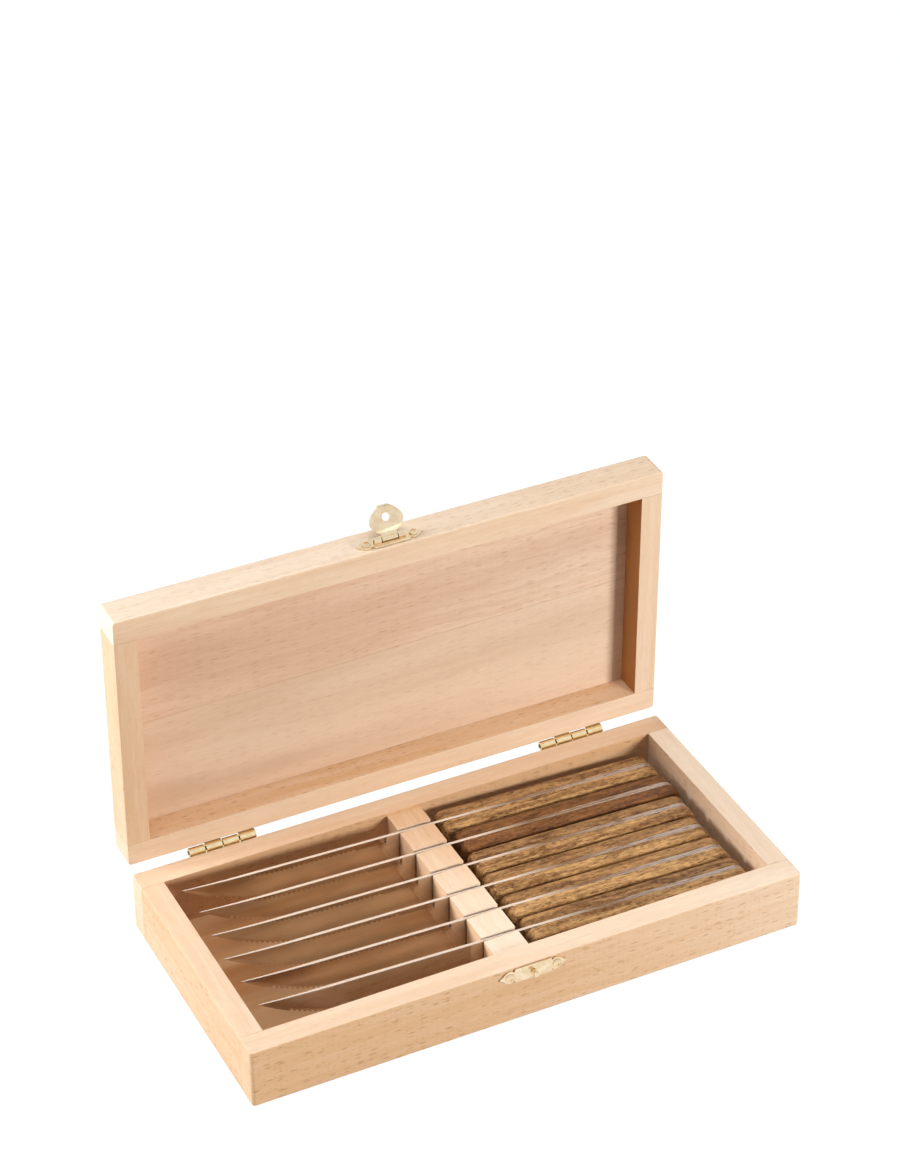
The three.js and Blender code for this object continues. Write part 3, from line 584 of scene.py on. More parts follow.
# %% Handle material
def handle_wood(name, brown, gold, pore):
    bench, flow = new_wood(name, 0.005)
    streak = noise(bench, flow, (30, 520, 360), 5, 0.62, 0.9)
    broad = noise(bench, flow, (14, 110, 90), 3, 0.55, 0.6)
    fibre = noise(bench, flow, (260, 3200, 3200), 3, 0.65)
    pores = dashes(bench, flow, (260, 1700, 1700), 0.55)
    curl = noise(bench, flow, (330, 620, 620), 3, 0.6, 0.6)
    glints = dashes(bench, flow, (420, 1300, 1300), 0.5)
    tone = streak.rise(0.42, 0.58) * 0.5 + broad.rise(0.4, 0.6) * 0.2 + curl.rise(0.4, 0.6) * 0.3
    wood = bench.blend((tone + glints * 0.35).within(), brown, gold)
    wood = bench.blend(fibre.rise(0.4, 0.7) * 0.4, wood, pore)
    wood = bench.blend(pores * 0.8, wood, pore)
    rough = 0.4 + fibre * 0.2 + pores * 0.15
    relief = fibre * 0.3 + curl * 0.8 - pores * 0.6
    return finish_with(bench, wood, rough, relief, bump=0.9, depth=0.5 * MM)


# The front scale's gold and the back scale's brown are painted light and shade on one wood.
HANDLES = {
    "front_scale": handle_wood("handle_painted_light", (118, 76, 40), (224, 176, 116), (56, 34, 17)),
    "back_scale": handle_wood("handle_painted_shade", (98, 62, 33), (200, 152, 98), (47, 28, 14)),
}
DARK_HANDLE = handle_wood("handle_dark", (85, 49, 25), (156, 104, 58), (44, 25, 13))
print("handle wood has", len(DARK_HANDLE.node_tree.nodes), "nodes")

# %% [markdown]
# ## Steel and brass
# Polished steel is mostly what it mirrors, and the polishing marks run along the blade. The spine and
# the tang are only ground, so they are duller than the sides, which the attribute `satin` tells. Their
# colour is painted: a cream painted highlight by the blade, brown under the hand and streaks of painted
# reflection in lilac grey towards the butt, where the tang mirrors the lid's panel. The brass is
# thin bright plate: pale, a little uneven and duller in patches.

# %% Metal materials
def polished_steel(name):
    bench = new_nodes(bpy.data.materials.new(name))
    place = bench.node("ShaderNodeTexCoord", out="Object")
    x = bench.parts(place)[0]
    marks = noise(bench, place, (40, 9000, 9000), 3, 0.7)
    streaks = noise(bench, place, (120, 1800, 600), 4, 0.7)
    cloud = noise(bench, place, (60, 200, 200))
    satin = attribute(bench, "satin", "Fac")
    base = bench.blend(cloud.rise(0.3, 0.7), *POLISHED)
    # Painted highlight and reflection on the ground parts: cream by the blade, then grey streaks of the
    # lid's panel mirrored towards the butt.
    greyer = (streaks.rise(0.38, 0.62) * (x - 45 * MM) / (20 * MM)).within()
    streaky = bench.blend(greyer, TANG_DARK, GREY_REFLECTION)
    painted_tang = bench.blend(((x - 18 * MM) / (25 * MM)).within(), CREAM, streaky)
    base = bench.blend(satin, base, painted_tang)
    rough = 0.035 + cloud.rise(0.35, 0.75) * 0.04 + marks * 0.03 + satin * (0.12 + streaks * 0.16)
    relief, metal = marks + streaks * satin * 2, 1 - satin * 0.75
    return finish_with(bench, base, rough, relief, bump=0.03, depth=0.03 * MM, metal=metal)


def brass(name, deep, bright):
    bench = new_nodes(bpy.data.materials.new(name))
    place = bench.node("ShaderNodeTexCoord", out="Object")
    patch = noise(bench, place, (260, 260, 260), 3, 0.6)
    grit = noise(bench, place, (5000, 5000, 5000), 2, 0.6)
    base = bench.blend(patch.rise(0.35, 0.7), deep, bright)
    rough = 0.05 + patch * 0.06 + grit * 0.02
    relief = patch + grit * 0.2
    return finish_with(bench, base, rough, relief, bump=0.02, depth=0.03 * MM, metal=1.0)


POLISHED = (212, 203, 193), (223, 215, 205)
# Colours of the ground spine and tang: brown under the hand, a painted grey reflection and a cream
# painted highlight.
TANG_DARK, GREY_REFLECTION, CREAM = (140, 108, 78), (186, 168, 154), (236, 220, 202)
STEEL = polished_steel("polished_steel")
BRASS = brass("pale_brass", (240, 214, 174), (251, 232, 200))
HINGE_BRASS = brass("hinge_brass", (250, 226, 174), (255, 240, 202))
# The pins' dark is painted shade, so that the notches between the knuckles read dark.
PIN_SHADE_BRASS = brass("pin_brass_painted_shade", (88, 62, 32), (126, 94, 52))
print("metals:", STEEL.name, BRASS.name, HINGE_BRASS.name, PIN_SHADE_BRASS.name)

# %% [markdown]
# ## Recipes in Geometry Nodes
# What repeats, or follows a rule, is best left to a recipe: a Geometry Nodes tree whose inputs are
# the sizes. A turned shape is one such rule. A flat grid is bent so that its columns run round the
# axis and its rows follow the profile, and merging the points that meet closes its seam and poles.

# %% Recipe helpers
SOCKETS = {int: "Int", float: "Float"}
TOUCHING = 0.000002


def recipe(name, sizes):
    """Starts a geometry tree. Returns its bench and a wire for the mesh and for every size."""
    tree = bpy.data.node_groups.new(name, "GeometryNodeTree")

    def socket(name, way, kind):
        return tree.interface.new_socket(name, in_out=way, socket_type="NodeSocket" + kind)

    socket("Mesh", "INPUT", "Geometry")
    for size, value in sizes.items():
        socket(size, "INPUT", SOCKETS[type(value)]).default_value = value
    socket("Mesh", "OUTPUT", "Geometry")
    bench = Bench(tree)
    given = bench.node("NodeGroupInput").socket.node.outputs
    return bench, {wanted.name: Wire(bench, wanted) for wanted in given if wanted.name}


def close_recipe(bench, shape, material):
    whole = bench.node("GeometryNodeRealizeInstances", inputs={0: shape})
    merged = bench.node("GeometryNodeMergeByDistance", inputs={0: whole, "Distance": TOUCHING})
    dressed = bench.node("GeometryNodeSetMaterial", inputs={0: merged, "Material": material})
    bench.node("NodeGroupOutput", inputs={0: dressed})
    return bench.tree


def outwards(mesh):
    """Turns every face of a closed mesh outwards."""
    with opened(mesh) as bm:
        bmesh.ops.recalc_face_normals(bm, faces=bm.faces)


def made_by(tree, sizes=(), start=None):
    """Runs a recipe, with some sizes of its own, and returns the plain mesh that it makes."""
    holder = set_up(tree.name, start or bpy.data.meshes.new(tree.name))
    modifier = holder.modifiers.new("recipe", "NODES")
    modifier.node_group = tree
    for item in tree.interface.items_tree:
        if item.name in sizes:
            modifier[item.identifier] = sizes[item.name]
    mesh = plain_mesh(holder)
    outwards(mesh)
    soften(mesh)
    return mesh


def bent_grid(bench, columns, rows, place):
    """A grid of numbered columns and rows. place() turns the two numbers into x, y and z."""
    sizes = {"Size X": 1.0, "Size Y": 1.0, "Vertices X": columns, "Vertices Y": rows}
    grid = bench.node("GeometryNodeMeshGrid", inputs=sizes)
    index = bench.node("GeometryNodeInputIndex")
    share = index / rows + 0.001
    column = share.maths("FLOOR")
    spot = bench.xyz(*place(column, index - column * rows))
    return bench.node("GeometryNodeSetPosition", inputs={"Geometry": grid, "Position": spot})


def follow(step, values):
    """The value of a broken line at a step: values[0] at 0, values[1] at 1, and so on."""
    reached = values[0]
    for start, (here, there) in enumerate(zip(values, values[1:])):
        reached = (step - start).within() * (there - here) + reached
    return reached


def turned(bench, radii, heights, sides):
    """A turned shape that stands on Z, from the radii and heights of its profile."""
    def place(column, row):
        angle = column * (2 * math.pi / sides)
        radius = follow(row, radii)
        return radius * angle.maths("COSINE"), radius * angle.maths("SINE"), follow(row, heights)

    shape = bent_grid(bench, sides + 1, len(radii), place)
    return bench.node("GeometryNodeMergeByDistance", inputs={0: shape, "Distance": TOUCHING})


def on_spots(bench, spots, unit, material):
    """Closes a recipe that sets a copy of the unit on every spot, its Z along the spot's facing."""
    kind = {"data_type": "FLOAT_VECTOR"}
    facing = bench.node("GeometryNodeInputNamedAttribute", kind, {"Name": "facing"})
    aim = bench.node("FunctionNodeAlignRotationToVector", {"axis": "Z"}, {"Vector": facing})
    inputs = {"Points": spots, "Instance": unit, "Rotation": aim}
    return close_recipe(bench, bench.node("GeometryNodeInstanceOnPoints", inputs=inputs), material)


def spots(places, facings):
    """Loose points for a recipe, each with the direction that it faces."""
    mesh = bpy.data.meshes.new("spots")
    mesh.from_pydata([tuple(place) for place in places], [], [])
    lay(mesh, "facing", "POINT", np.array([tuple(way) for way in facings], float))
    return mesh


print("recipes can start")

# %% [markdown]
# ## The blades
# A blade's shape follows a rule, so a recipe draws it. Columns run from the point to the handle and
# rows run round the section: up one flat side from the edge to the spine and down the other. The
# spine drops a little at the point, the belly curves up to it, the bevel thins the edge, and a
# leaning zigzag takes a bite out of the bevel at every tooth, as the wheel does that also leaves a
# flute in the bevel's front. Each tooth's tip falls on a column. The line where the bevel starts is
# kept sharp in the shading, so that the flat sides mirror like flat glass.

# %% Blade recipe
BLADE_LENGTH, BLADE_DEPTH, BLADE_THICKNESS = 124 * MM, 16.9 * MM, 1.4 * MM
HIDDEN_IN_HANDLE = 7 * MM
POINT_LENGTH, POINT_RISE, SHARP_END = 35 * MM, 0.9 * MM, 1.6 * MM
BELLY_LENGTH, TAPER_LENGTH = 54 * MM, 34 * MM
BEVEL_HEIGHT, BEVEL_TOP, EDGE, SPINE_CORNER = 2.2 * MM, 1.25 * MM, 0.14 * MM, 0.15 * MM
RICASSO_LENGTH, RICASSO_EDGE, RICASSO_START = 24 * MM, 0.9 * MM, 2.2 * MM
TOOTH_LEAN = 0.375
FLUTE = 0.75
SECTION_ROWS = 13
BEVEL_LINE = math.radians(5)


def blade_recipe():
    bench, size = recipe("serrated_blade", {
        "Length": BLADE_LENGTH, "Depth": BLADE_DEPTH, "Thickness": BLADE_THICKNESS,
        "Point Thickness": 0.4 * MM, "Tooth Pitch": 2.4 * MM, "Tooth Depth": 1.3 * MM,
        "First Tooth": 14.1 * MM, "Teeth": 31, "Steps per Tooth": 8,
    })
    step = size["Tooth Pitch"] / size["Steps per Tooth"]
    columns = (size["Length"] + HIDDEN_IN_HANDLE) / step

    def place(column, row):
        u = column * step
        off_spine = (1 - u / POINT_LENGTH).atleast(0)
        top = off_spine * off_spine * POINT_RISE
        rest = 1 - (u / BELLY_LENGTH).atmost(1)
        low = POINT_RISE - (1 - rest * rest) * (size["Depth"] + POINT_RISE)
        span = top - low
        bevel = (span / 2).atmost(BEVEL_HEIGHT)
        corner = (span / 4).atmost(SPINE_CORNER)
        taper = (u / TAPER_LENGTH).atmost(1)
        full = size["Point Thickness"] * (1 - taper) + size["Thickness"] * taper
        full = full * (u / SHARP_END).within() ** 0.5
        ricasso = ((u - size["Length"] + RICASSO_LENGTH) / RICASSO_START).within()
        shoulder = full.atmost(BEVEL_TOP)
        edge = full.atmost(EDGE * (1 - ricasso) + RICASSO_EDGE * ricasso)
        teeth = (u - size["First Tooth"]) / size["Tooth Pitch"]
        bite = teeth.maths("FRACT")
        bite = (bite / TOOTH_LEAN).atmost((1 - bite) / (1 - TOOTH_LEAN))
        toothed = teeth.above(-0.01) * teeth.below(size["Teeth"] - 0.01)
        notch = bite * toothed * size["Tooth Depth"]
        across = row - (SECTION_ROWS - 1) / 2
        up = across.maths("ABSOLUTE")
        on_bevel = (up / 2).within()
        on_flat = ((up - 2) / 2).within()
        on_corner = (up - 4).within()
        on_spine = (up - 5).within()
        width = edge + (shoulder - edge) * on_bevel.atleast(notch / bevel)
        width = width + (full - shoulder) * on_flat - corner * 1.2 * on_corner
        front = across.below(0) * (2 - up).within()
        width = width * (1 - front * bite * toothed * FLUTE)
        shut = (columns - 1.5 - column).within()
        y = across.maths("SIGN") * width * 0.5 * (1 - on_spine) * shut
        z = low + (bevel * on_bevel).atleast(notch) + (span - bevel - corner) * on_flat
        return u, y, z + corner * on_corner

    return close_recipe(bench, bent_grid(bench, columns, SECTION_ROWS, place), STEEL)


BLADE = made_by(blade_recipe())
soften(BLADE, BEVEL_LINE)
print("blade:", len(BLADE.polygons), "faces,", round(max(v.co.x for v in BLADE.vertices) * 1000, 1), "mm")

# %% [markdown]
# ## Tang and scales
# A full-tang handle is a sandwich: the steel runs through to the butt and shows as a stripe along
# the back, wider towards the end, between two wooden scales. All three share one outline, with a
# belly under the fingers and a waist behind it. Each is lofted: rings of the same outline, drawn in
# a little where the edge is rounded, are joined with faces and capped.

# %% Handle outline
HANDLE_LENGTH = 108.5 * MM
KNIFE_LENGTH = BLADE_LENGTH + HANDLE_LENGTH
HALF_HANDLE = 7.65 * MM
FRONT_RADIUS = 3.6 * MM
BUTT_RADIUS = 6.5 * MM
FRONT_HEIGHT, BELLY_HEIGHT = 18 * MM, 20 * MM
WAIST_HEIGHT, BUTT_HEIGHT = 17.8 * MM, 19 * MM
BELLY_AT, WAIST_AT = BLADE_LENGTH + 38 * MM, BLADE_LENGTH + 78 * MM
SCALE_ROUNDING = 1.7 * MM
FRONT_ROUNDER, BUTT_ROUNDER = 1.6, 2.6


def arc(cx, cz, radius, start, end, steps=7):
    angles = np.radians(np.linspace(start, end, steps))
    return [(cx + radius * math.cos(a), cz + radius * math.sin(a)) for a in angles]


def easy_line(x0, z0, x1, z1, steps=14):
    """Points between two levels, flat at both ends, without the ends themselves."""
    shares = np.linspace(0, 1, steps)[1:-1]
    return [(x0 + (x1 - x0) * t, z0 + (z1 - z0) * t * t * (3 - 2 * t)) for t in shares]


def handle_outline():
    front, butt = BLADE_LENGTH + FRONT_RADIUS, KNIFE_LENGTH - BUTT_RADIUS
    r, b = FRONT_RADIUS, BUTT_RADIUS
    points = arc(front, -r, r, 180, 90)
    points += easy_line(front, 0, butt, 0, 24)
    points += arc(butt, -b, b, 90, 0, 9) + arc(butt, b - BUTT_HEIGHT, b, 0, -90, 9)
    waist, belly = (WAIST_AT, -WAIST_HEIGHT), (BELLY_AT, -BELLY_HEIGHT)
    points += easy_line(butt, -BUTT_HEIGHT, *waist) + [waist]
    points += easy_line(*waist, *belly) + [belly]
    points += easy_line(*belly, front, -FRONT_HEIGHT)
    points += arc(front, r - FRONT_HEIGHT, r, -90, -180)
    return np.array(points)


OUTLINE = handle_outline()
step_on = np.roll(OUTLINE, -1, 0) - np.roll(OUTLINE, 1, 0)
step_on /= np.linalg.norm(step_on, axis=1)[:, None]
INWARDS = np.stack([step_on[:, 1], -step_on[:, 0]], 1)


def half_tang(x):
    """Half the tang's width, which doubles on the way to the butt."""
    return BLADE_THICKNESS / 2 * (1 + (x - BLADE_LENGTH) / HANDLE_LENGTH)


def loft(rings, round_trip=False):
    """Joins closed rings of equally many points. The last is joined to the first, or both are capped."""
    count, total = len(rings[0]), len(rings)
    caps = [[ring * count + i for i in range(count)] for ring in (0, total - 1)]
    faces = [] if round_trip else caps
    for ring in range(total if round_trip else total - 1):
        a, b = ring * count, (ring + 1) % total * count
        faces += [[a + i, a + (i + 1) % count, b + (i + 1) % count, b + i] for i in range(count)]
    mesh = bpy.data.meshes.new("loft")
    mesh.from_pydata([tuple(point) for ring in rings for point in ring], [], faces)
    outwards(mesh)
    return mesh


def ring_at(inset, tangs, aside):
    """The outline drawn in by inset, and set so many half tangs and a step aside of the middle."""
    ends = [BLADE_LENGTH, BLADE_LENGTH + 8 * MM, KNIFE_LENGTH - 12 * MM, KNIFE_LENGTH]
    more = np.interp(OUTLINE[:, 0], ends, [FRONT_ROUNDER, 1, 1, BUTT_ROUNDER])
    flat = OUTLINE + INWARDS * (inset * more)[:, None]
    return [(x, tangs * half_tang(x) + aside, z) for x, z in flat]


def tang():
    """A hair lower than the scales and the blade's spine."""
    low, soft = 0.03 * MM, 0.15 * MM
    rows = [(soft, -1, 0), (low, -1, soft), (low, 1, -soft), (soft, 1, 0)]
    return loft([ring_at(*row) for row in rows])


def scale(side):
    soft, groove = 0.15 * MM, 0.04 * MM
    rows = [(soft, side, side * groove), (0, side, side * (groove + soft))]
    shoulder = HALF_HANDLE - SCALE_ROUNDING
    for angle in np.radians(range(0, 91, 15)):
        inset = SCALE_ROUNDING * (1 - math.cos(angle))
        rows.append((inset, 0, side * (shoulder + SCALE_ROUNDING * math.sin(angle))))
    return loft([ring_at(*row) for row in rows])


print("handle outline of", len(OUTLINE), "points")

# %% [markdown]
# ## Rivets
# Two rivets hold each handle together. They repeat, so a recipe sets a slightly domed disc on every
# spot that it is given, facing out of the scale.

# %% Rivet recipe
RIVET_INSET, RIVET_DROP, RIVET_SUNK = 24 * MM, 9.2 * MM, 0.02 * MM


def rivet_recipe():
    bench, size = recipe("rivets", {"Radius": 2 * MM, "Dome": 0.05 * MM})
    radius, dome = size["Radius"], size["Dome"]
    radii = [0, radius, radius, radius * 0.94, radius * 0.5, 0]
    heights = [-0.3 * MM, -0.3 * MM, 0, dome * 0.7, dome, dome * 1.05]
    unit = turned(bench, radii, heights, 24)
    return on_spots(bench, size["Mesh"], unit, STEEL)


RIVETS = rivet_recipe()


def rivet_spots():
    ends = BLADE_LENGTH + RIVET_INSET, KNIFE_LENGTH - RIVET_INSET
    seat = HALF_HANDLE - RIVET_SUNK
    places = [(x, side * seat, -RIVET_DROP) for x in ends for side in (-1, 1)]
    return spots(places, [Y * place[1] / seat for place in places])


print("rivets come from", len(RIVETS.nodes), "nodes")

# %% [markdown]
# ## Six knives in their slots
# A knife lies a little tilted, its ricasso on the slot's floor and its butt on the panel. Each knife
# is put exactly where its solid is: the solid's box tells where its point and its middle are.

# %% Knives
TILT = 0.035733
POINT_HEIGHT = 30.886 * MM
POINT_BACK = 0.531 * MM


def knife_place(knife):
    low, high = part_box(f"{knife}_blade")
    start = Vector((low.x - POINT_BACK, (low.y + high.y) / 2, POINT_HEIGHT))
    return Matrix.Translation(start) @ Matrix.Rotation(TILT, 4, "Y")


def joined(meshes):
    """One mesh from several."""
    whole = bpy.data.meshes.new("joined")
    with opened(whole) as bm:
        for mesh in meshes:
            bm.from_mesh(mesh)
    return whole


for number in range(1, 7):
    knife = f"knife_{number}"
    place = knife_place(knife)
    middle = tang()
    soften(middle)
    steel = joined([BLADE, middle, made_by(RIVETS, start=rivet_spots())])
    steel.transform(place)
    lay(steel, "satin", "CORNER", 1 - facings_of(steel)[:, 1] ** 2)
    new_piece(f"{knife}_steel", steel, STEEL, [f"{knife}_blade"])
    for side, name in ((1, "back_scale"), (-1, "front_scale")):
        half = scale(side)
        soften(half)
        lay_grain(half, X, Z, 30 + 2 * number + side)
        half.transform(place)
        wood = DARK_HANDLE if number == 2 else HANDLES[name]
        new_piece(f"{knife}_{name}_wood", half, wood, [f"{knife}_{name}"])
print("knives lie at a tilt of", round(math.degrees(TILT), 2), "degrees")

# %% [markdown]
# ## Brass plates
# Hasp, catch and hinge leaves are stamped from thin plate. A filled curve is quick for that: its
# outline and its holes are splines of one flat curve, its thickness is an extrusion, and a small
# bevel rounds the stamped edges all round, in the holes as well.

# %% Stamped plate
WIDTH = 129.7
FRONT_Y = -WIDTH / 2
SEAT, PLATE = 0.3, 0.6
STAMPED_JOIN = 1e-4
HASP_X, HASP_Z, CATCH_Z = -1.1, 34.1, 24.9
HASP_AXIS_Y = FRONT_Y - 1.5
HINGE_Y, HINGE_Z = 67.2, 29.0
LID_AXIS = Matrix.Translation((0, HINGE_Y, HINGE_Z))
LID_TURN = LID_AXIS @ Matrix.Rotation(math.radians(-89), 4, "X") @ LID_AXIS.inverted()
FLAP_AXIS = Matrix.Translation((HASP_X, HASP_AXIS_Y, HASP_Z))
FLAP_TURN = LID_TURN @ FLAP_AXIS @ Matrix.Rotation(math.radians(-115), 4, "X")
TURNS = {"tray": Matrix(), "lid": LID_TURN, "hasp": FLAP_TURN}


def stamped(outline, holes, thickness, rounding=0.1):
    """A plate in X and Z, in millimetres, with its middle at Y 0."""
    curve = bpy.data.curves.new("stamped", "CURVE")
    curve.dimensions = "2D"
    curve.fill_mode = "BOTH"
    curve.extrude = thickness / 2 - rounding
    curve.bevel_depth = rounding
    curve.bevel_resolution = 1
    curve.offset = -rounding
    for points in [outline, *holes]:
        spline = curve.splines.new("POLY")
        spline.points.add(len(points) - 1)
        for point, (x, z) in zip(spline.points, points):
            point.co = (x, z, 0, 1)
        spline.use_cyclic_u = True
    mesh = plain_mesh(set_up("stamped", curve))
    with opened(mesh) as bm:
        bmesh.ops.remove_doubles(bm, verts=bm.verts, dist=STAMPED_JOIN)
    outwards(mesh)
    mesh.transform(Matrix.Rotation(math.pi / 2, 4, "X"))
    return mesh


def circle(x, z, radius, sides=24):
    return arc(x, z, radius, 0, 360, sides + 1)[:-1]


def box_outline(x0, z0, x1, z1):
    return [(x0, z0), (x1, z0), (x1, z1), (x0, z1)]


PLATE_SCREW = 11.2


def lobed_outline(x, z):
    corner = [
        (8.5, 3.5), (8.8, 2.3), (9.3, 2.35), (9.8, 2.9), (10.9, 3.1), (12.0, 2.9),
        (13.2, 2.2), (14.4, 1.0), (15.7, 0.3),
    ]
    right = corner + [(u, -v) for u, v in reversed(corner)]
    return [(x + u, z + v) for u, v in right + [(-u, -v) for u, v in right]]


def tube(x0, x1, y, z, outer, inner, sides=28, soft=0.12):
    """A rolled knuckle along X."""
    profile = [(inner, x0), (outer - soft, x0), (outer, x0 + soft), (outer, x1 - soft),
               (outer - soft, x1), (inner, x1)]
    rings = [[(x, y + r * math.cos(turn), z + r * math.sin(turn)) for r, x in profile]
             for turn in np.linspace(0, 2 * math.pi, sides, endpoint=False)]
    return loft(rings, round_trip=True)


def soft_block(low, high, rounding=0.12):
    """A small block with bevelled edges."""
    low, high = Vector(low), Vector(high)
    mesh = bpy.data.meshes.new("block")
    with opened(mesh) as bm:
        bmesh.ops.create_cube(bm, size=1)
        bmesh.ops.scale(bm, vec=high - low, verts=bm.verts)
        bmesh.ops.translate(bm, vec=(high + low) / 2, verts=bm.verts)
        bmesh.ops.bevel(bm, geom=bm.edges, offset=rounding, segments=2, affect="EDGES")
    return mesh


def brass_piece(node, meshes, finish=BRASS):
    """Joins meshes in millimetres, drawn in the closed case, and lets them stand for a solid."""
    whole = joined(meshes)
    soften(whole)
    whole.transform(TURNS[body_of(node)])
    whole.transform(Matrix.Scale(MM, 4))
    new_piece(node + "_brass", whole, finish, [node])


print("the lid's fittings are drawn closed and turned back by 89 degrees")

# %% [markdown]
# ## Hasp and catch
# The catch plate and the hasp plate share one outline with a pointed lobe round each screw. The hasp
# plate has a window for the flap's knuckle and two rolled knuckles beside it. The flap is pear-shaped,
# with a hole that drops over the stud and a lip for a fingertip.

# %% Catch, hasp and flap
FLAP_KNUCKLE, SIDE_KNUCKLE = 3.7, 3.4
KNUCKLE_RADIUS, PIN_BORE = 1.25, 0.65
WINDOW, WINDOW_RISE = 4.0, 1.55
SCREW_HOLE, STUD_HOLE, FLAP_HOLE = 1.15, 1.1, 1.8


def placed(mesh, x=0.0, y=0.0, z=0.0):
    mesh.transform(Matrix.Translation((x, y, z)))
    return mesh


def screw_holes(z):
    return [circle(HASP_X + side * PLATE_SCREW, z, SCREW_HOLE, 16) for side in (-1, 1)]


plate_y = FRONT_Y - SEAT - PLATE / 2
holes = [*screw_holes(CATCH_Z), circle(HASP_X, CATCH_Z, STUD_HOLE)]
catch = stamped(lobed_outline(HASP_X, CATCH_Z), holes, PLATE)
brass_piece("catch_plate", [placed(catch, y=plate_y)])

left, right = HASP_X - WINDOW, HASP_X + WINDOW
window = box_outline(left, HASP_Z - WINDOW_RISE, right, HASP_Z + WINDOW_RISE)
plate = stamped(lobed_outline(HASP_X, HASP_Z), [*screw_holes(HASP_Z), window], PLATE)
hasp = [placed(plate, y=plate_y)]
for start in (left - SIDE_KNUCKLE, right):
    end = start + SIDE_KNUCKLE
    hasp.append(tube(start, end, HASP_AXIS_Y, HASP_Z, KNUCKLE_RADIUS, PIN_BORE))
    hasp.append(soft_block(
        (start, HASP_AXIS_Y + 0.7, HASP_Z - 1.2), (end, FRONT_Y - SEAT, HASP_Z + 1.2)
    ))
brass_piece("hasp_plate", hasp)


def flap_outline():
    """The pear of the flap, hanging from its knuckle."""
    half = [(3.7, 0), (3.7, -2.6)]
    spans = [
        [(3.7, -2.6), (6.0, -3.6), (8.0, -5.6), (8.0, -7.8)],
        [(8.0, -7.8), (8.0, -10.0), (5.0, -12.8), (2.5, -14.4)],
    ]
    for p in spans:
        for t in np.linspace(0, 1, 12)[1:]:
            weights = [(1 - t) ** 3, 3 * t * (1 - t) ** 2, 3 * t * t * (1 - t), t ** 3]
            half.append(tuple(sum(w * q[k] for w, q in zip(weights, p)) for k in (0, 1)))
    return half + [(-x, z) for x, z in reversed(half)]


flap = [
    stamped(flap_outline(), [circle(0, CATCH_Z - HASP_Z, FLAP_HOLE)], PLATE),
    tube(-FLAP_KNUCKLE, FLAP_KNUCKLE, 0, 0, KNUCKLE_RADIUS, PIN_BORE),
    soft_block((-2.5, -2.7, -14.4), (2.5, 0.3, -13.8)),
]
brass_piece("hasp_flap", flap)

# %% [markdown]
# ## Screws and stud
# All twelve screws come from one recipe: a turned head on a shank, with a cross cut into it by two
# blocks. The recipe is given the spots of a set of screws on one body, each with the direction that
# it faces, so that each set rides on its own body.

# %% Screw recipe
def screw_recipe():
    bench, size = recipe("cross_head_screws", {
        "Head Radius": 2 * MM, "Head Height": 1.2 * MM, "Shank Radius": 1 * MM,
        "Length": 7.5 * MM, "Cross Width": 0.5 * MM, "Cross Depth": 0.6 * MM,
    })
    r, h, shank = size["Head Radius"], size["Head Height"], size["Shank Radius"]
    tip = 0 - size["Length"]
    radii = [0, shank, shank, r, r, r * 0.93, r * 0.72, r * 0.4, 0]
    heights = [tip, tip + 2 * MM, 0, 0, h * 0.25, h * 0.55, h * 0.84, h * 0.97, h]
    head = turned(bench, radii, heights, 28)
    arm, bar, deep = r * 1.2, size["Cross Width"], size["Cross Depth"] * 2
    settings = {"operation": "DIFFERENCE", "solver": "EXACT"}
    for x, y in ((arm, bar), (bar, arm)):
        cube = bench.node("GeometryNodeMeshCube", inputs={"Size": bench.xyz(x, y, deep)})
        cut = bench.node("GeometryNodeTransform", inputs={0: cube, "Translation": bench.xyz(z=h)})
        head = bench.node("GeometryNodeMeshBoolean", settings, {0: head, 1: cut})
    return on_spots(bench, size["Mesh"], head, BRASS)


SCREWS = screw_recipe()
LEAF_SCREW = {
    "Head Radius": 1.7 * MM, "Head Height": 0.65 * MM, "Shank Radius": 0.75 * MM,
    "Length": 7 * MM, "Cross Width": 0.4 * MM, "Cross Depth": 0.35 * MM,
}
HINGE_STARTS = {"left": -102.4, "right": 70.4}
HALVES = {"tray": -1, "lid": 1}
HINGE_LENGTH, LEAF = 32, 0.9
LEAF_SCREWS = (5.5, HINGE_LENGTH - 5.5)
LEAF_SCREW_RISE = 7.95
PRESSED_IN = 0.05


def screw_piece(name, places, facing, nodes, sizes=()):
    """Screws at places in millimetres, drawn in the closed case."""
    turn = TURNS[body_of(nodes[0])]
    places = [turn @ Vector(place) * MM for place in places]
    start = spots(places, [turn.to_3x3() @ facing] * len(places))
    mesh = made_by(SCREWS, sizes, start)
    new_piece(name, mesh, BRASS, nodes)
    print(name, "have", len(mesh.polygons), "faces")


def front_places(z):
    seat = FRONT_Y - SEAT - PLATE
    return [(HASP_X + side * PLATE_SCREW, seat - PRESSED_IN, z) for side in (-1, 1)]


def leaf_places(up):
    seat = WIDTH / 2 + SEAT + LEAF
    xs = [start + inset for start in HINGE_STARTS.values() for inset in LEAF_SCREWS]
    return [(x, seat + PRESSED_IN, HINGE_Z + up * LEAF_SCREW_RISE) for x in xs]


for name, z in {"catch": CATCH_Z, "hasp": HASP_Z}.items():
    nodes = [f"{name}_screw_{n}" for n in (1, 2)]
    screw_piece(name + "_screws", front_places(z), -Y, nodes)
for half, up in HALVES.items():
    nodes = [f"{side}_hinge_{half}_screw_{n}" for side in HINGE_STARTS for n in (1, 2)]
    screw_piece(half + "_leaf_screws", leaf_places(up), Y, nodes, LEAF_SCREW)


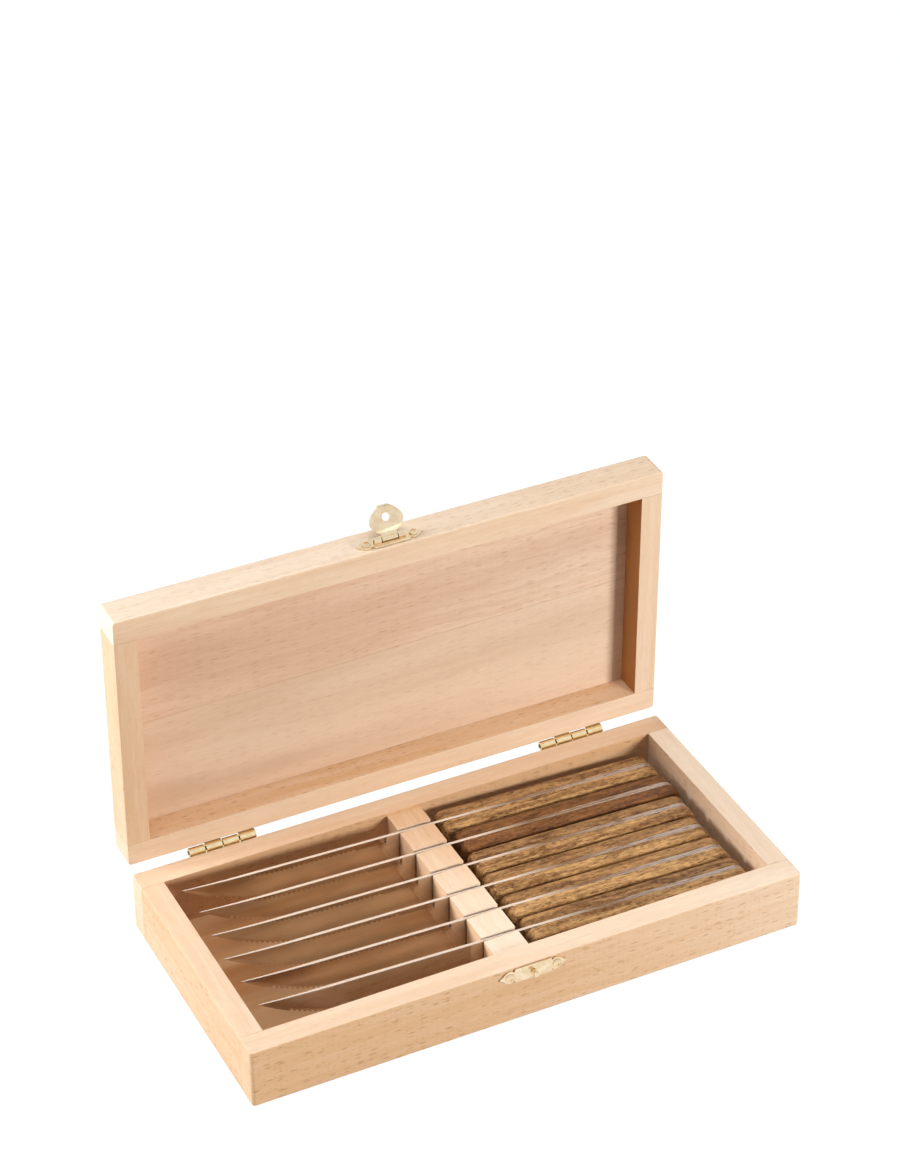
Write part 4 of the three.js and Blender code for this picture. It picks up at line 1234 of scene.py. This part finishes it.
def stud_recipe():
    bench, size = recipe("catch_stud", {"Head Radius": 1.35 * MM, "Height": 4.3 * MM})
    r, h = size["Head Radius"], size["Height"]
    radii = [0, r * 0.74, r * 0.74, r * 0.8, r, r, r * 0.85, r * 0.5, 0]
    heights = [h * 0.07, h * 0.07, h * 0.58, h * 0.62, h * 0.72, h * 0.86, h * 0.96, h, h]
    return on_spots(bench, size["Mesh"], turned(bench, radii, heights, 28), BRASS)


stud = made_by(stud_recipe(), start=spots([Vector((HASP_X, FRONT_Y, CATCH_Z)) * MM], [-Y]))
new_piece("catch_stud_brass", stud, BRASS, ["catch_stud"])

# %% [markdown]
# ## Hinges
# Each leaf is a stamped plate whose edge is rolled into knuckles. The knuckles of the two leaves take
# turns along the pin, so the recipe sets a tube on every second spot, beginning with the first for
# the tray and with the second for the lid. The tray's knuckles are cut shorter at their right end,
# where the pin shows in a notch, dark with painted shade.

# %% Hinge recipe
KNUCKLE_STEP = 8.0
KNUCKLE_GAP, NOTCH = 0.4, 0.6
BARREL = 2.05
LEAF_HEIGHT, LEAF_HOLE = 11, 0.9


def knuckle_recipe():
    bench, size = recipe("hinge_knuckles", {
        "Radius": BARREL * MM, "Bore": 1.05 * MM, "Step": KNUCKLE_STEP * MM,
        "Gap": KNUCKLE_GAP * MM, "First": 0, "Count": 4,
    })
    r, bore, soft = size["Radius"], size["Bore"], 0.15 * MM
    long = size["Step"] - size["Gap"]
    radii = [bore, r - soft, r, r, r - soft, bore, bore]
    heights = [0, 0, soft, long - soft, long, long, 0]
    unit = turned(bench, radii, heights, 32)
    run = {"Count": size["Count"], "Offset": bench.xyz(size["Step"])}
    line = bench.node("GeometryNodeMeshLine", inputs=run)
    half = (bench.node("GeometryNodeInputIndex") + size["First"]) / 2
    even = half.maths("FRACT").below(0.25)
    turn = {"Points": line, "Instance": unit, "Selection": even, "Rotation": (0, math.pi / 2, 0)}
    return close_recipe(bench, bench.node("GeometryNodeInstanceOnPoints", inputs=turn), BRASS)


KNUCKLES = knuckle_recipe()


def hinge_leaf(start, up):
    inner = HINGE_Y - BARREL
    near = HINGE_Z + up * (BARREL + KNUCKLE_GAP)
    far = near + up * LEAF_HEIGHT
    low, high = sorted((near, far))
    holes = [circle(start + inset, HINGE_Z + up * LEAF_SCREW_RISE, LEAF_HOLE, 16)
             for inset in LEAF_SCREWS]
    leaf = stamped(box_outline(start, low, start + HINGE_LENGTH, high), holes, LEAF)
    meshes = [placed(leaf, y=inner + LEAF / 2)]
    first, gap = (0, NOTCH) if up < 0 else (1, KNUCKLE_GAP)
    knuckles = made_by(KNUCKLES, {"First": first, "Gap": gap * MM})
    knuckles.transform(Matrix.Scale(1 / MM, 4))
    meshes.append(placed(knuckles, start + KNUCKLE_GAP / 2, HINGE_Y, HINGE_Z))
    for number in range(first, 4, 2):
        x = start + number * KNUCKLE_STEP + KNUCKLE_GAP / 2
        ends = sorted((HINGE_Z + up * 0.5, near + up * 0.6))
        end = x + KNUCKLE_STEP - gap
        meshes.append(soft_block((x, inner, ends[0]), (end, inner + LEAF, ends[1])))
    return meshes


for side, start in HINGE_STARTS.items():
    for half, up in HALVES.items():
        brass_piece(f"{side}_hinge_{half}_leaf", hinge_leaf(start, up), HINGE_BRASS)
print("hinges at", HINGE_STARTS)

# %% [markdown]
# ## Metal on the solids that stay
# The pins keep their solids and get a dark brass that is painted shade, so that the notches between the
# knuckles read dark.

# %% Finish the other solids
for name, node in NODES.items():
    if not node.hide_render:
        node.data.materials.clear()
        node.data.materials.append(PIN_SHADE_BRASS)
        print("kept as it is:", name)
